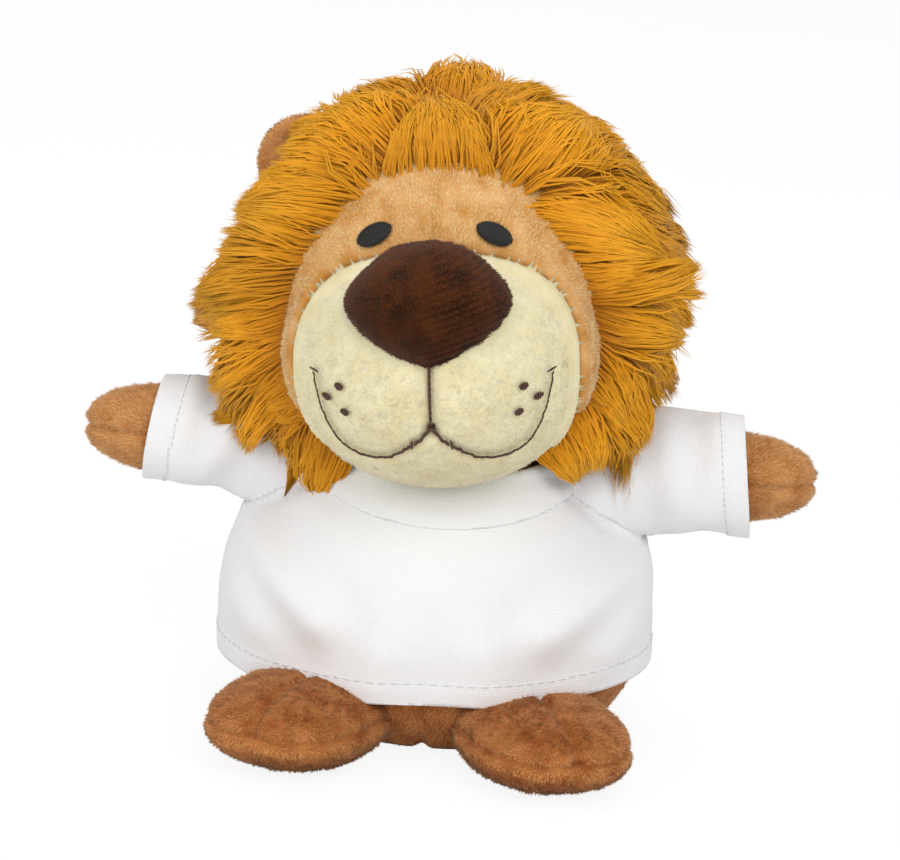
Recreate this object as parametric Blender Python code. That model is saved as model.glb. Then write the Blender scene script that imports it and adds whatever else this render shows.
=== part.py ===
"""Plush lion in a white T-shirt, sitting, built as it is sewn: plush panels over stuffing.

Metres, +Z up. The lion faces -Y, its left arm points to +X, and the origin is the centre of the
flat seat it rests on. The body, head, arms, feet and tail each turn on a soft seam; an empty marks
each seam's axis.
"""

import math
from bisect import bisect_right

import bmesh
import bpy
from mathutils import Matrix, Vector

# Cloth and clearances
GAP = 0.0003
SKIN = 0.0015
JERSEY = 0.0009
FLAT_DEPTH = 0.0005
OVERRUN = 0.03
REACH = 0.2
SHARP_ANGLE = math.radians(40)

# Body: a pear, outlined as (height share, girth share) of its height and width
BODY_WIDTH = 0.091
BODY_DEPTH = 0.083
BODY_HEIGHT = 0.070
BODY_OUTLINE_SHARES = (
    (0.0, 0.66), (0.04, 0.79), (0.10, 0.885), (0.20, 0.965), (0.33, 1.0), (0.47, 0.985),
    (0.60, 0.92), (0.72, 0.815), (0.83, 0.675), (0.92, 0.565), (1.0, 0.45),
)
BODY_SEGMENTS = 28
STUFFING_SEGMENTS = 18
SEAT_SEAM_HEIGHT = 0.004
PELLET_BAG_TOP = 0.015

# Head: a ball with the face and the muzzle swelling out of it
HEAD_RADIUS = 0.039
HEAD_HEIGHT = 0.095
HEAD_BACK = -0.002
HEAD_PANEL_HEIGHT = 0.068
FACE_CENTRE = Vector((0.0, -0.012, 0.098))
FACE_RADII = Vector((0.036, 0.033, 0.034))
FACE_EDGE = -0.020
MUZZLE_CENTRE = Vector((0.0, -0.024, 0.088))
MUZZLE_RADII = Vector((0.033, 0.037, 0.028))
MUZZLE_EDGE = -0.017
HEAD_SEGMENTS = 24
HEAD_RINGS = 12

# Nose: a rounded triangle, point down
NOSE_CENTRE = Vector((0.0, -0.0505, 0.1035))
NOSE_RADII = Vector((0.0190, 0.0160, 0.0135))
NOSE_POINT_SHARE = 0.42
NOSE_EDGE = -0.0370
NOSE_SEGMENTS = 16
NOSE_RINGS = 10

# Embroidery on the face
EYE_SIZE = Vector((0.0041, 0.0007, 0.0021))
EYE_ACROSS = 0.0121
EYE_RISE = 0.0160
EYE_TILT = math.radians(28)
THREAD_RADIUS = 0.00045
MOUTH_DROP = 0.0105
LIP_SEAM_LENGTH = 0.0155
LIP_SEAM_STEPS = 4
SMILE_WIDTH = 0.0240
SMILE_RISE = 0.0103
SMILE_SHARES = (
    (0.025, -0.02), (0.192, -0.37), (0.40, -0.63), (0.563, -0.65), (0.742, -0.485),
    (0.875, -0.05), (0.95, 0.485), (1.0, 1.0),
)
DOT_RADIUS = 0.0009
DOT_DEPTH = 0.0005
PATCH_SEGMENTS = 10
PATCH_RINGS = 6
DOT_SHARES = ((0.758, 0.845), (0.871, 0.602), (0.717, 0.340))

# Mane: (depth share, radius share) from the face to the back of the head, with pointed locks
MANE_CENTRE = Vector((0.0, 0.0, 0.0940))
MANE_RADIUS = 0.0480
MANE_FRONT = -0.0300
MANE_DEPTH = 0.0750
MANE_OUTLINE_SHARES = (
    (0.0, 0.625), (0.013, 0.80), (0.087, 0.93), (0.213, 0.99), (0.373, 1.0), (0.56, 0.97),
    (0.72, 0.885), (0.853, 0.74), (0.947, 0.54), (1.0, 0.27),
)
MANE_SEAM = 0.0035
LOCKS = 14
LOCK_SEGMENTS = 4
LOCK_LENGTH = 0.0060
LOCK_SWIRL = 0.9

# Ears, set in the seam of the mane
EAR_ANGLE = math.radians(46)
EAR_DISTANCE = 0.0440
EAR_RADII = Vector((0.0105, 0.0027, 0.0105))
EAR_SEGMENTS = 16
EAR_RINGS = 8

# Arms: (distance share, radius share) from the shoulder ball to the paw
ARM_REACH = 0.0810
ARM_RADIUS = 0.0098
SHOULDER_RADIUS = 0.0088
ARM_OUTLINE_SHARES = (
    (0.12, 0.96), (0.32, 1.0), (0.56, 0.98), (0.74, 0.90), (0.87, 0.73), (0.96, 0.48), (1.0, 0.22),
)
ARM_SEGMENTS = 14
SHOULDER_SHARE = 0.755

BALL_END_TURNS = (20, 45, 70)

# Feet: plump ovals, toes turned out
FOOT_LENGTH = 0.046
FOOT_WIDTH = 0.037
FOOT_HEIGHT = 0.0195
FOOT_ACROSS = 0.291 * BODY_WIDTH
FOOT_FORWARD = 0.446 * BODY_DEPTH
TOE_OUT = math.radians(17)
HEEL_TAPER_SHARE = 0.22
SOLE_SEAM_HEIGHT = 0.0080
FOOT_SEGMENTS = 18
FOOT_RINGS = 10
HIP_BACK = 0.0070
FOOT_LIFT = math.radians(12)
LIFT_STEPS = 3

# Tail
TAIL_RADIUS = 0.0038
TAIL_LENGTH = 0.024
TAIL_HEIGHT = 0.0082
TAIL_RISE = 0.004
TUFT_LENGTH = 0.021
TUFT_RADIUS = 0.0068
TUFT_OUTLINE_SHARES = (
    (0.0, 0.55), (0.18, 0.86), (0.42, 1.0), (0.66, 0.84), (0.85, 0.50), (1.0, 0.12),
)
TAIL_SEGMENTS = 12

# T-shirt: outline of the trunk as (height, half width), hung over the body
SHIRT_EASE = 0.0007
SHIRT_HEM = 0.0130
SHIRT_NECK_RADIUS = 0.0303
SHIRT_NECK_HEIGHT = 0.0625
SHIRT_TOP = 0.0800
SHIRT_RINGS = 7
HEM_FOLDS = 7
HEM_FOLD_SEGMENTS = 5
HEM_FOLD_DEPTH = 0.0008
NECKLINE_FRONT = 0.0510
NECKLINE_TILT = math.radians(12)
COLLAR_HEIGHT = 0.0062
COLLAR_EASE = 0.0003
SLEEVE_HEM = 0.0660
SLEEVE_HEM_RADIUS = 0.0140
SLEEVE_ROOT_RADIUS = 0.0150
SLEEVE_ROOT = 0.0200
SLEEVE_SLOPE_SHARE = 0.38
SLEEVE_STEPS = 5
SLEEVE_SEGMENTS = 18
RAGLAN_TOP = (0.2857 * BODY_WIDTH, 0.8214 * BODY_HEIGHT)
ARMPIT = (0.5055 * BODY_WIDTH, 0.6429 * BODY_HEIGHT)

# How far the soft seams give
HEAD_TURN = math.radians(12)
TURN_CLEARANCE = 0.00045
SLEEVE_CLEARANCE = 0.0040

COLOURS = {
    "tan_plush": ((0.60, 0.36, 0.16, 1.0), 0.95),
    "brown_plush": ((0.32, 0.14, 0.05, 1.0), 0.95),
    "mane_pile": ((0.68, 0.33, 0.04, 1.0), 0.9),
    "cream_plush": ((0.86, 0.80, 0.58, 1.0), 0.95),
    "nose_plush": ((0.06, 0.020, 0.006, 1.0), 0.9),
    "thread": ((0.010, 0.010, 0.009, 1.0), 0.6),
    "mouth_thread": ((0.09, 0.045, 0.018, 1.0), 0.7),
    "jersey": ((0.90, 0.90, 0.90, 1.0), 0.9),
    "stuffing": ((0.80, 0.80, 0.78, 1.0), 1.0),
    "pellets": ((0.70, 0.72, 0.74, 1.0), 0.5),
}


def clear_scene():
    """Empty the scene of whatever it holds."""
    for obj in list(bpy.data.objects):
        bpy.data.objects.remove(obj, do_unlink=True)


def material(name):
    """The named cloth or stuffing, made once."""
    if name in bpy.data.materials:
        return bpy.data.materials[name]
    colour, roughness = COLOURS[name]
    made = bpy.data.materials.new(name)
    made.use_nodes = True
    surface = made.node_tree.nodes["Principled BSDF"]
    surface.inputs["Base Color"].default_value = colour
    surface.inputs["Roughness"].default_value = roughness
    surface.inputs["Metallic"].default_value = 0.0
    made.diffuse_color = colour
    return made


def smooth(points, at):
    """Value at a place on a smooth curve through (place, value) points."""
    places = [place for place, _ in points]
    index = min(max(bisect_right(places, at) - 1, 0), len(points) - 2)
    (start, low), (end, high) = points[index], points[index + 1]
    before = points[max(index - 1, 0)]
    after = points[min(index + 2, len(points) - 1)]
    run = end - start
    slope_in = run * (high - before[1]) / (end - before[0])
    slope_out = run * (after[1] - low) / (after[0] - start)
    t = min(max((at - start) / run, 0), 1)
    keep = 1 - t
    return (
        keep * keep * (1 + 2 * t) * low + t * t * (3 - 2 * t) * high
        + t * keep * keep * slope_in - t * t * keep * slope_out
    )


def grown(outline, grow):
    """A turned outline of (height, radius) points moved out along its normals, ends capped."""
    closed = [(outline[0][0], 0.0)] + list(outline) + [(outline[-1][0], 0.0)]
    moved = []
    for before, here, after in zip(closed, closed[1:], closed[2:]):
        normal = Vector((0.0, 0.0))
        for start, end in ((before, here), (here, after)):
            along = Vector((end[0] - start[0], end[1] - start[1])).normalized()
            normal += Vector((-along.y, along.x))
        normal.normalize()
        moved.append((here[0] + grow * normal.x, here[1] + grow * normal.y))
    return moved


def draw_turned(bm, outline, segments, matrix, flatten=1.0):
    """Closed solid through rings round the matrix's Z axis; returns its vertices."""
    rings = []
    for height, radius in outline:
        ring = bmesh.ops.create_circle(bm, cap_ends=False, segments=segments, radius=1.0)["verts"]
        place = matrix @ Matrix.Translation((0, 0, height)) @ Matrix.Diagonal(
            (radius, radius * flatten, 1.0, 1.0)
        )
        bmesh.ops.transform(bm, matrix=place, verts=ring)
        rings.append(ring)
    for lower, upper in zip(rings, rings[1:]):
        edges = {edge for vert in lower + upper for edge in vert.link_edges if not edge.link_faces}
        edges |= {
            edge for vert in lower for edge in vert.link_edges
            if edge.other_vert(vert) in lower
        }
        bmesh.ops.bridge_loops(bm, edges=list(edges))
    for ring in (rings[0], rings[-1]):
        bmesh.ops.contextual_create(bm, geom=ring)
    return [vert for ring in rings for vert in ring]


def draw_ball(bm, centre, radii, segments, rings):
    """Ellipsoid with its poles on the Y axis; returns its vertices."""
    place = (
        Matrix.Translation(centre) @ Matrix.Diagonal(radii.to_4d())
        @ Matrix.Rotation(math.radians(90), 4, "X")
    )
    return bmesh.ops.create_uvsphere(
        bm, u_segments=segments, v_segments=rings, radius=1.0, matrix=place
    )["verts"]


def rise(radii, grow):
    """Radii grown alike on every axis."""
    return radii + Vector((grow, grow, grow))


def body_outline(grow):
    """(height, radius across) rings of the body, the lowest just under the floor."""
    outline = [
        (share * BODY_HEIGHT - (FLAT_DEPTH if share == 0 else 0), girth * BODY_WIDTH / 2)
        for share, girth in BODY_OUTLINE_SHARES
    ]
    return grown(outline, grow)


def draw_body(bm, grow=0.0, segments=BODY_SEGMENTS):
    """The pear of the body."""
    draw_turned(bm, body_outline(grow), segments, Matrix(), BODY_DEPTH / BODY_WIDTH)


def head_centre():
    """Centre of the head's ball, on the neck's axis."""
    return Vector((0.0, HEAD_BACK, HEAD_HEIGHT))


def draw_head(bm, grow=0.0):
    """The head's ball."""
    radii = Vector((HEAD_RADIUS, HEAD_RADIUS, HEAD_RADIUS))
    draw_ball(bm, head_centre(), rise(radii, grow), HEAD_SEGMENTS, HEAD_RINGS)


def draw_face(bm, grow=0.0):
    """The forehead and cheeks."""
    draw_ball(bm, FACE_CENTRE, rise(FACE_RADII, grow), HEAD_SEGMENTS, HEAD_RINGS)


def draw_muzzle(bm, grow=0.0):
    """The muzzle with the chin."""
    draw_ball(bm, MUZZLE_CENTRE, rise(MUZZLE_RADII, grow), HEAD_SEGMENTS, HEAD_RINGS)


def draw_turning_muzzle(bm, grow):
    """The room that the muzzle takes as the head turns either way."""
    swing = (HEAD_BACK - MUZZLE_CENTRE.y) * math.sin(HEAD_TURN)
    for vert in draw_ball(bm, MUZZLE_CENTRE, rise(MUZZLE_RADII, grow), HEAD_SEGMENTS, HEAD_RINGS):
        vert.co.x += swing * min(max(vert.co.x / swing, -1), 1)


def draw_nose(bm, grow=0.0):
    """A ball drawn in towards its lower end."""
    radii = rise(NOSE_RADII, grow)
    for vert in draw_ball(bm, NOSE_CENTRE, radii, NOSE_SEGMENTS, NOSE_RINGS):
        share = (vert.co.z - NOSE_CENTRE.z) / radii.z
        width = NOSE_POINT_SHARE + (1 - NOSE_POINT_SHARE) * math.sqrt(max(1 + share, 0) / 2)
        vert.co.x *= width


def lock_reach(angle, depth_share):
    """How far the mane's pointed locks stand out at an angle round the face."""
    turn = angle + LOCK_SWIRL * depth_share * math.tau / LOCKS
    tip = 1 - abs(math.sin(turn * LOCKS / 2))
    return LOCK_LENGTH * tip * math.sin(math.pi * min(max(depth_share, 0), 1)) ** (1 / 2)


def draw_mane(bm, grow=0.0):
    """The outer form of the long pile, ring by ring from the face to the back of the head."""
    place = Matrix.Translation(MANE_CENTRE) @ Matrix.Rotation(math.radians(-90), 4, "X")
    outline = [
        (MANE_FRONT + share * MANE_DEPTH, girth * MANE_RADIUS) for share, girth in MANE_OUTLINE_SHARES
    ]
    verts = draw_turned(bm, grown(outline, grow), LOCKS * LOCK_SEGMENTS, place)
    for vert in verts:
        across = vert.co - MANE_CENTRE
        depth_share = (across.y - MANE_FRONT) / MANE_DEPTH
        flat = Vector((across.x, 0.0, across.z))
        reach = lock_reach(math.atan2(across.x, across.z), depth_share)
        vert.co += flat.normalized() * reach


def ear_place(side):
    """Centre of an ear and its frame, leaning out from the crown."""
    away = Vector((side * math.sin(EAR_ANGLE), 0.0, math.cos(EAR_ANGLE)))
    centre = MANE_CENTRE + away * EAR_DISTANCE
    centre.y = MANE_SEAM
    return Matrix.Translation(centre) @ Matrix.Rotation(side * EAR_ANGLE, 4, "Y")


def draw_ear(bm, side, grow=0.0):
    """A flat rounded flap."""
    verts = draw_ball(bm, Vector(), rise(EAR_RADII, grow), EAR_SEGMENTS, EAR_RINGS)
    bmesh.ops.transform(bm, matrix=ear_place(side), verts=verts)


def shoulder(side):
    """Centre of the arm's ball end, resting on the shirt's neck."""
    outline = [(share * BODY_HEIGHT, girth * BODY_WIDTH / 2) for share, girth in BODY_OUTLINE_SHARES]
    height = SHOULDER_SHARE * BODY_HEIGHT
    below, above = (smooth(outline, height + step) for step in (-SKIN, SKIN))
    normal = Vector((SKIN + SKIN, 0.0, below - above)).normalized()
    on_body = Vector((smooth(outline, height), 0.0, height))
    centre = on_body + normal * (SHIRT_EASE + COLLAR_EASE + SHOULDER_RADIUS)
    return Vector((side * centre.x, centre.y, centre.z))


def arm_outline(grow):
    """(distance from the shoulder, radius) rings: a ball end, then the taper to the paw."""
    length = ARM_REACH - shoulder(1).x
    ball = [
        (-SHOULDER_RADIUS * math.cos(math.radians(turn)), SHOULDER_RADIUS * math.sin(math.radians(turn)))
        for turn in BALL_END_TURNS
    ]
    taper = [(share * length, girth * ARM_RADIUS) for share, girth in ARM_OUTLINE_SHARES]
    return grown(ball + taper, grow)


def draw_arm(bm, side, grow=0.0):
    """The arm, straight out from the shoulder."""
    turn = Matrix.Rotation(side * math.radians(90), 4, "Y")
    draw_turned(bm, arm_outline(grow), ARM_SEGMENTS, Matrix.Translation(shoulder(side)) @ turn)


def foot_place(side):
    """Centre of a foot, its toes turned out."""
    centre = Vector((side * FOOT_ACROSS, -FOOT_FORWARD, FOOT_HEIGHT / 2 - FLAT_DEPTH))
    return Matrix.Translation(centre) @ Matrix.Rotation(side * TOE_OUT, 4, "Z")


def draw_foot(bm, side, grow=0.0):
    """A plump oval, narrower at the heel."""
    radii = rise(Vector((FOOT_WIDTH, FOOT_LENGTH, FOOT_HEIGHT)) / 2, grow)
    verts = draw_ball(bm, Vector(), radii, FOOT_SEGMENTS, FOOT_RINGS)
    for vert in verts:
        heel = max(vert.co.y / radii.y, 0)
        vert.co.x *= 1 - HEEL_TAPER_SHARE * heel
    bmesh.ops.transform(bm, matrix=foot_place(side), verts=verts)


def hip(side):
    """Frame of a foot's seam: its X axis is the one that the foot lifts round."""
    return foot_place(side) @ Matrix.Translation((0, HIP_BACK, 0))


def tail_root():
    """Centre of the tail's ball end, resting on the back of the body."""
    outline = [(share * BODY_HEIGHT, girth * BODY_DEPTH / 2) for share, girth in BODY_OUTLINE_SHARES]
    below, above = (smooth(outline, TAIL_HEIGHT + step) for step in (-SKIN, SKIN))
    normal = Vector((0.0, SKIN + SKIN, below - above)).normalized()
    on_body = Vector((0.0, smooth(outline, TAIL_HEIGHT), TAIL_HEIGHT))
    return on_body + normal * (TAIL_RADIUS + GAP)


def tail_frame():
    """Frame of the tail, its Z axis running back from the root and up a little."""
    lift = math.atan2(TAIL_RISE, TAIL_LENGTH)
    return Matrix.Translation(tail_root()) @ Matrix.Rotation(lift - math.radians(90), 4, "X")


def draw_tail(bm, grow=0.0):
    """The plush tube with its ball end."""
    ball = [
        (-TAIL_RADIUS * math.cos(math.radians(turn)), TAIL_RADIUS * math.sin(math.radians(turn)))
        for turn in BALL_END_TURNS
    ]
    tube = [(0.0, TAIL_RADIUS), (TAIL_LENGTH, TAIL_RADIUS)]
    draw_turned(bm, grown(ball + tube, grow), TAIL_SEGMENTS, tail_frame())


def draw_tuft(bm, grow=0.0):
    """The tuft, starting over the end of the tube."""
    start = TAIL_LENGTH + GAP
    outline = [
        (start + share * TUFT_LENGTH, girth * TUFT_RADIUS) for share, girth in TUFT_OUTLINE_SHARES
    ]
    draw_turned(bm, grown(outline, grow), TAIL_SEGMENTS, tail_frame())


def hang(height):
    """How freely the shirt hangs: 0 at the neck, 1 at the hem."""
    drop = (SHIRT_NECK_HEIGHT - height) / (SHIRT_NECK_HEIGHT - SHIRT_HEM)
    return min(max(drop, 0), 1) ** 2


def shirt_outline(grow, hem):
    """(height, radius) rings of the shirt's trunk, from the hem to above the neck."""
    body = [(share * BODY_HEIGHT, girth * BODY_WIDTH / 2) for share, girth in BODY_OUTLINE_SHARES]
    rings = []
    for step in range(SHIRT_RINGS + 1):
        height = hem + (SHIRT_NECK_HEIGHT - hem) * step / SHIRT_RINGS
        ease = SHIRT_EASE + JERSEY + HEM_FOLD_DEPTH * hang(height)
        rings.append((height, max(smooth(body, height) + ease, SHIRT_NECK_RADIUS)))
    rings.append((SHIRT_TOP, SHIRT_NECK_RADIUS))
    return [(height, radius + grow) for height, radius in rings]


def draw_round_at_neck(bm, outline, segments):
    """Solid as deep as the body at the shirt's hem and below, and round at its neck; its vertices."""
    flatten = BODY_DEPTH / BODY_WIDTH
    verts = draw_turned(bm, outline, segments, Matrix(), flatten)
    for vert in verts:
        vert.co.y *= hang(vert.co.z) + (1 - hang(vert.co.z)) / min(flatten, 1)
    return verts


def draw_trunk(bm, grow=0.0, hem=SHIRT_HEM):
    """The shirt's trunk with shallow folds that deepen towards the hem."""
    for vert in draw_round_at_neck(bm, shirt_outline(grow, hem), HEM_FOLD_SEGMENTS * HEM_FOLDS):
        fold = math.cos(HEM_FOLDS * math.atan2(vert.co.x, vert.co.y))
        depth = HEM_FOLD_DEPTH * fold * hang(vert.co.z)
        vert.co += Vector((vert.co.x, vert.co.y, 0.0)).normalized() * depth


def draw_belly(bm, grow):
    """The clothed body: bare below the hem, the shirt's trunk above it."""
    bare = [(height, radius) for height, radius in body_outline(grow) if height < SHIRT_HEM]
    body = [(share * BODY_HEIGHT, girth * BODY_WIDTH / 2) for share, girth in BODY_OUTLINE_SHARES]
    bare.append((SHIRT_HEM - grow - grow, smooth(body, SHIRT_HEM) + grow))
    dressed = shirt_outline(grow + HEM_FOLD_DEPTH, SHIRT_HEM - grow)
    draw_round_at_neck(bm, bare + dressed, HEM_FOLD_SEGMENTS * HEM_FOLDS)
    bmesh.ops.triangulate(bm, faces=bm.faces[:])


def draw_sleeve(bm, side, grow=0.0, overrun=0.0):
    """A sleeve's tube from inside the trunk to its hem, sinking towards the neck."""
    pivot = shoulder(side)
    root = SLEEVE_ROOT - shoulder(1).x
    hem = SLEEVE_HEM - shoulder(1).x
    taper = ((root, SLEEVE_ROOT_RADIUS), (hem, SLEEVE_HEM_RADIUS))
    places = [root + (hem - root) * step / SLEEVE_STEPS for step in range(SLEEVE_STEPS + 1)]
    outline = [(place, smooth(taper, place) + grow) for place in places]
    if overrun:
        outline.append((hem + overrun, SLEEVE_HEM_RADIUS + grow))
    turn = Matrix.Rotation(side * math.radians(90), 4, "Y")
    verts = draw_turned(bm, outline, SLEEVE_SEGMENTS, Matrix.Translation(pivot) @ turn)
    for vert in verts:
        vert.co.z -= SLEEVE_SLOPE_SHARE * max(side * (pivot.x - vert.co.x), 0)


def cut(bm, point, normal):
    """Drop what lies past the plane and close the cut."""
    geometry = bm.verts[:] + bm.edges[:] + bm.faces[:]
    found = bmesh.ops.bisect_plane(
        bm, geom=geometry, plane_co=point, plane_no=normal, clear_outer=True
    )["geom_cut"]
    edges = [item for item in found if isinstance(item, bmesh.types.BMEdge)]
    bmesh.ops.triangle_fill(bm, edges=edges, use_beauty=True, normal=normal)


def shell(draw, thickness=SKIN):
    """A form and its inner face, both closed, to be opened by a cut."""
    bm = bmesh.new()
    draw(bm, 0.0)
    outer = set(bm.faces)
    draw(bm, -thickness)
    inner = [face for face in bm.faces if face not in outer]
    bmesh.ops.reverse_faces(bm, faces=inner)
    return bm


def solid(draw, grow):
    """A form moved in or out."""
    bm = bmesh.new()
    draw(bm, grow)
    return bm


def mesh_of(name, bm):
    """The mesh, faces out, smooth but for its sharp edges."""
    bmesh.ops.recalc_face_normals(bm, faces=bm.faces[:])
    if bm.calc_volume(signed=True) < 0:
        bmesh.ops.reverse_faces(bm, faces=bm.faces[:])
    mesh = bpy.data.meshes.new(name)
    bm.to_mesh(mesh)
    bm.free()
    mesh.shade_smooth()
    mesh.set_sharp_from_angle(angle=SHARP_ANGLE)
    return mesh


def add(name, bm, cloth, seam=None):
    """A named piece, carried by the empty of its seam where it moves."""
    obj = bpy.data.objects.new(name, mesh_of(name, bm))
    obj.data.materials.append(material(cloth))
    bpy.context.collection.objects.link(obj)
    if seam is not None:
        obj.parent = seam
        obj.matrix_parent_inverse = seam.matrix_world.inverted()
    return obj


def add_seam(name, place):
    """Empty on the axis of a soft seam."""
    seam = bpy.data.objects.new(name, None)
    seam.empty_display_size = ARM_RADIUS
    bpy.context.collection.objects.link(seam)
    seam.matrix_world = place
    bpy.context.view_layer.update()
    return seam


def add_cutter(name, bm):
    """A hidden solid that others are cut by."""
    obj = bpy.data.objects.new(name, mesh_of(name, bm))
    obj.hide_render = True
    obj.display_type = "WIRE"
    bpy.context.collection.objects.link(obj)
    return obj


def combine(obj, operation, others):
    """Live Booleans of one kind with several solids."""
    for other in others:
        modifier = obj.modifiers.new(other.name, "BOOLEAN")
        modifier.operation = operation
        modifier.object = other


def swung(cutter, place, axis, angle):
    """A copy of a cutter turned about an axis through a place."""
    copy = add_cutter(f"{cutter.name}_{round(math.degrees(angle))}", bmesh_of(cutter))
    turn = Matrix.Rotation(angle, 4, axis)
    copy.data.transform(Matrix.Translation(place) @ turn @ Matrix.Translation(-place))
    return copy


def bmesh_of(obj):
    """The object's mesh as its modifiers leave it."""
    bpy.context.view_layer.update()
    graph = bpy.context.evaluated_depsgraph_get()
    bm = bmesh.new()
    bm.from_object(obj, graph)
    return bm


def build_body(head_clear):
    """Two front panels, a back panel, the seat, the stuffing and the pellet bag."""
    down, half = Vector((0, 0, -1)), GAP / 2
    panels = {
        "body_front_left": ((half, 0, 0), (-1, 0, 0), (0, -half, 0), (0, 1, 0)),
        "body_front_right": ((-half, 0, 0), (1, 0, 0), (0, -half, 0), (0, 1, 0)),
        "body_back": ((0, half, 0), (0, -1, 0)),
    }
    for name, planes in panels.items():
        bm = shell(draw_body)
        cut(bm, Vector((0, 0, SEAT_SEAM_HEIGHT + half)), down)
        for point, normal in zip(planes[::2], planes[1::2]):
            cut(bm, Vector(point), Vector(normal))
        combine(add(name, bm, "brown_plush"), "DIFFERENCE", head_clear)
    bm = shell(draw_body)
    cut(bm, Vector(), down)
    cut(bm, Vector((0, 0, SEAT_SEAM_HEIGHT - half)), -down)
    add("seat_panel", bm, "brown_plush")

    def inside(bm, grow):
        draw_body(bm, grow, STUFFING_SEGMENTS)

    bm = solid(inside, -SKIN - GAP)
    cut(bm, Vector((0, 0, PELLET_BAG_TOP + GAP)), down)
    combine(add("body_stuffing", bm, "stuffing"), "DIFFERENCE", head_clear)
    bm = solid(inside, -SKIN - GAP)
    cut(bm, Vector((0, 0, PELLET_BAG_TOP)), -down)
    add("pellet_bag", bm, "pellets")


def on_ball(centre, radii, across, height, off):
    """Point on the front of an ellipsoid at a place across and up, and its normal."""
    share = 1 - ((across - centre.x) / radii.x) ** 2 - ((height - centre.z) / radii.z) ** 2
    point = Vector((across, centre.y - radii.y * math.sqrt(share), height))
    normal = Vector((
        (point.x - centre.x) / radii.x ** 2, (point.y - centre.y) / radii.y ** 2,
        (point.z - centre.z) / radii.z ** 2,
    )).normalized()
    return point + normal * off, normal


def add_patch(name, place, normal, size, tilt, cloth, seam, base):
    """A thin embroidered lens lying on the face."""
    bm = bmesh.new()
    verts = draw_ball(bm, Vector(), size, PATCH_SEGMENTS, PATCH_RINGS)
    lie = normal.to_track_quat("-Y", "Z").to_matrix().to_4x4()
    bmesh.ops.transform(
        bm, matrix=Matrix.Translation(place) @ lie @ Matrix.Rotation(tilt, 4, "Y"), verts=verts
    )
    combine(add(name, bm, cloth, seam), "DIFFERENCE", [base])


def add_thread(name, points, cloth, seam):
    """A stitched line as a round cord through the points."""
    curve = bpy.data.curves.new(name, "CURVE")
    curve.dimensions = "3D"
    curve.bevel_depth = THREAD_RADIUS
    curve.bevel_resolution = 1
    curve.use_fill_caps = True
    spline = curve.splines.new("POLY")
    spline.points.add(len(points) - 1)
    for slot, point in zip(spline.points, points):
        slot.co = point.to_4d()
    obj = bpy.data.objects.new(name, curve)
    curve.materials.append(material(cloth))
    bpy.context.collection.objects.link(obj)
    obj.parent = seam
    obj.matrix_parent_inverse = seam.matrix_world.inverted()


def build_embroidery(neck, face, muzzle):
    """Eyes, lip seam, smile and whisker dots."""
    off = THREAD_RADIUS + GAP
    mouth = MUZZLE_CENTRE.z - MOUTH_DROP
    for side, label in ((1, "left"), (-1, "right")):
        place, normal = on_ball(
            FACE_CENTRE, FACE_RADII, side * EYE_ACROSS, FACE_CENTRE.z + EYE_RISE, GAP
        )
        add_patch(f"eye_{label}", place, normal, EYE_SIZE, side * EYE_TILT, "thread", neck, face)
        points = [
            on_ball(
                MUZZLE_CENTRE, MUZZLE_RADII, side * across * SMILE_WIDTH,
                mouth + lift * SMILE_RISE, off,
            )[0]
            for across, lift in SMILE_SHARES
        ]
        points[0].x += side * (THREAD_RADIUS + THREAD_RADIUS)
        add_thread(f"smile_{label}", points, "mouth_thread", neck)
        for number, (across, lift) in enumerate(DOT_SHARES, 1):
            place, normal = on_ball(
                MUZZLE_CENTRE, MUZZLE_RADII, side * across * SMILE_WIDTH,
                mouth + lift * SMILE_RISE, GAP,
            )
            size = Vector((DOT_RADIUS, DOT_DEPTH, DOT_RADIUS))
            name = f"whisker_dot_{label}_{number}"
            add_patch(name, place, normal, size, 0.0, "mouth_thread", neck, muzzle)
    points = [
        on_ball(
            MUZZLE_CENTRE, MUZZLE_RADII, 0.0, mouth + LIP_SEAM_LENGTH * step / LIP_SEAM_STEPS, off,
        )[0]
        for step in range(LIP_SEAM_STEPS, -1, -1)
    ]
    add_thread("lip_seam", points, "mouth_thread", neck)


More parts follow.
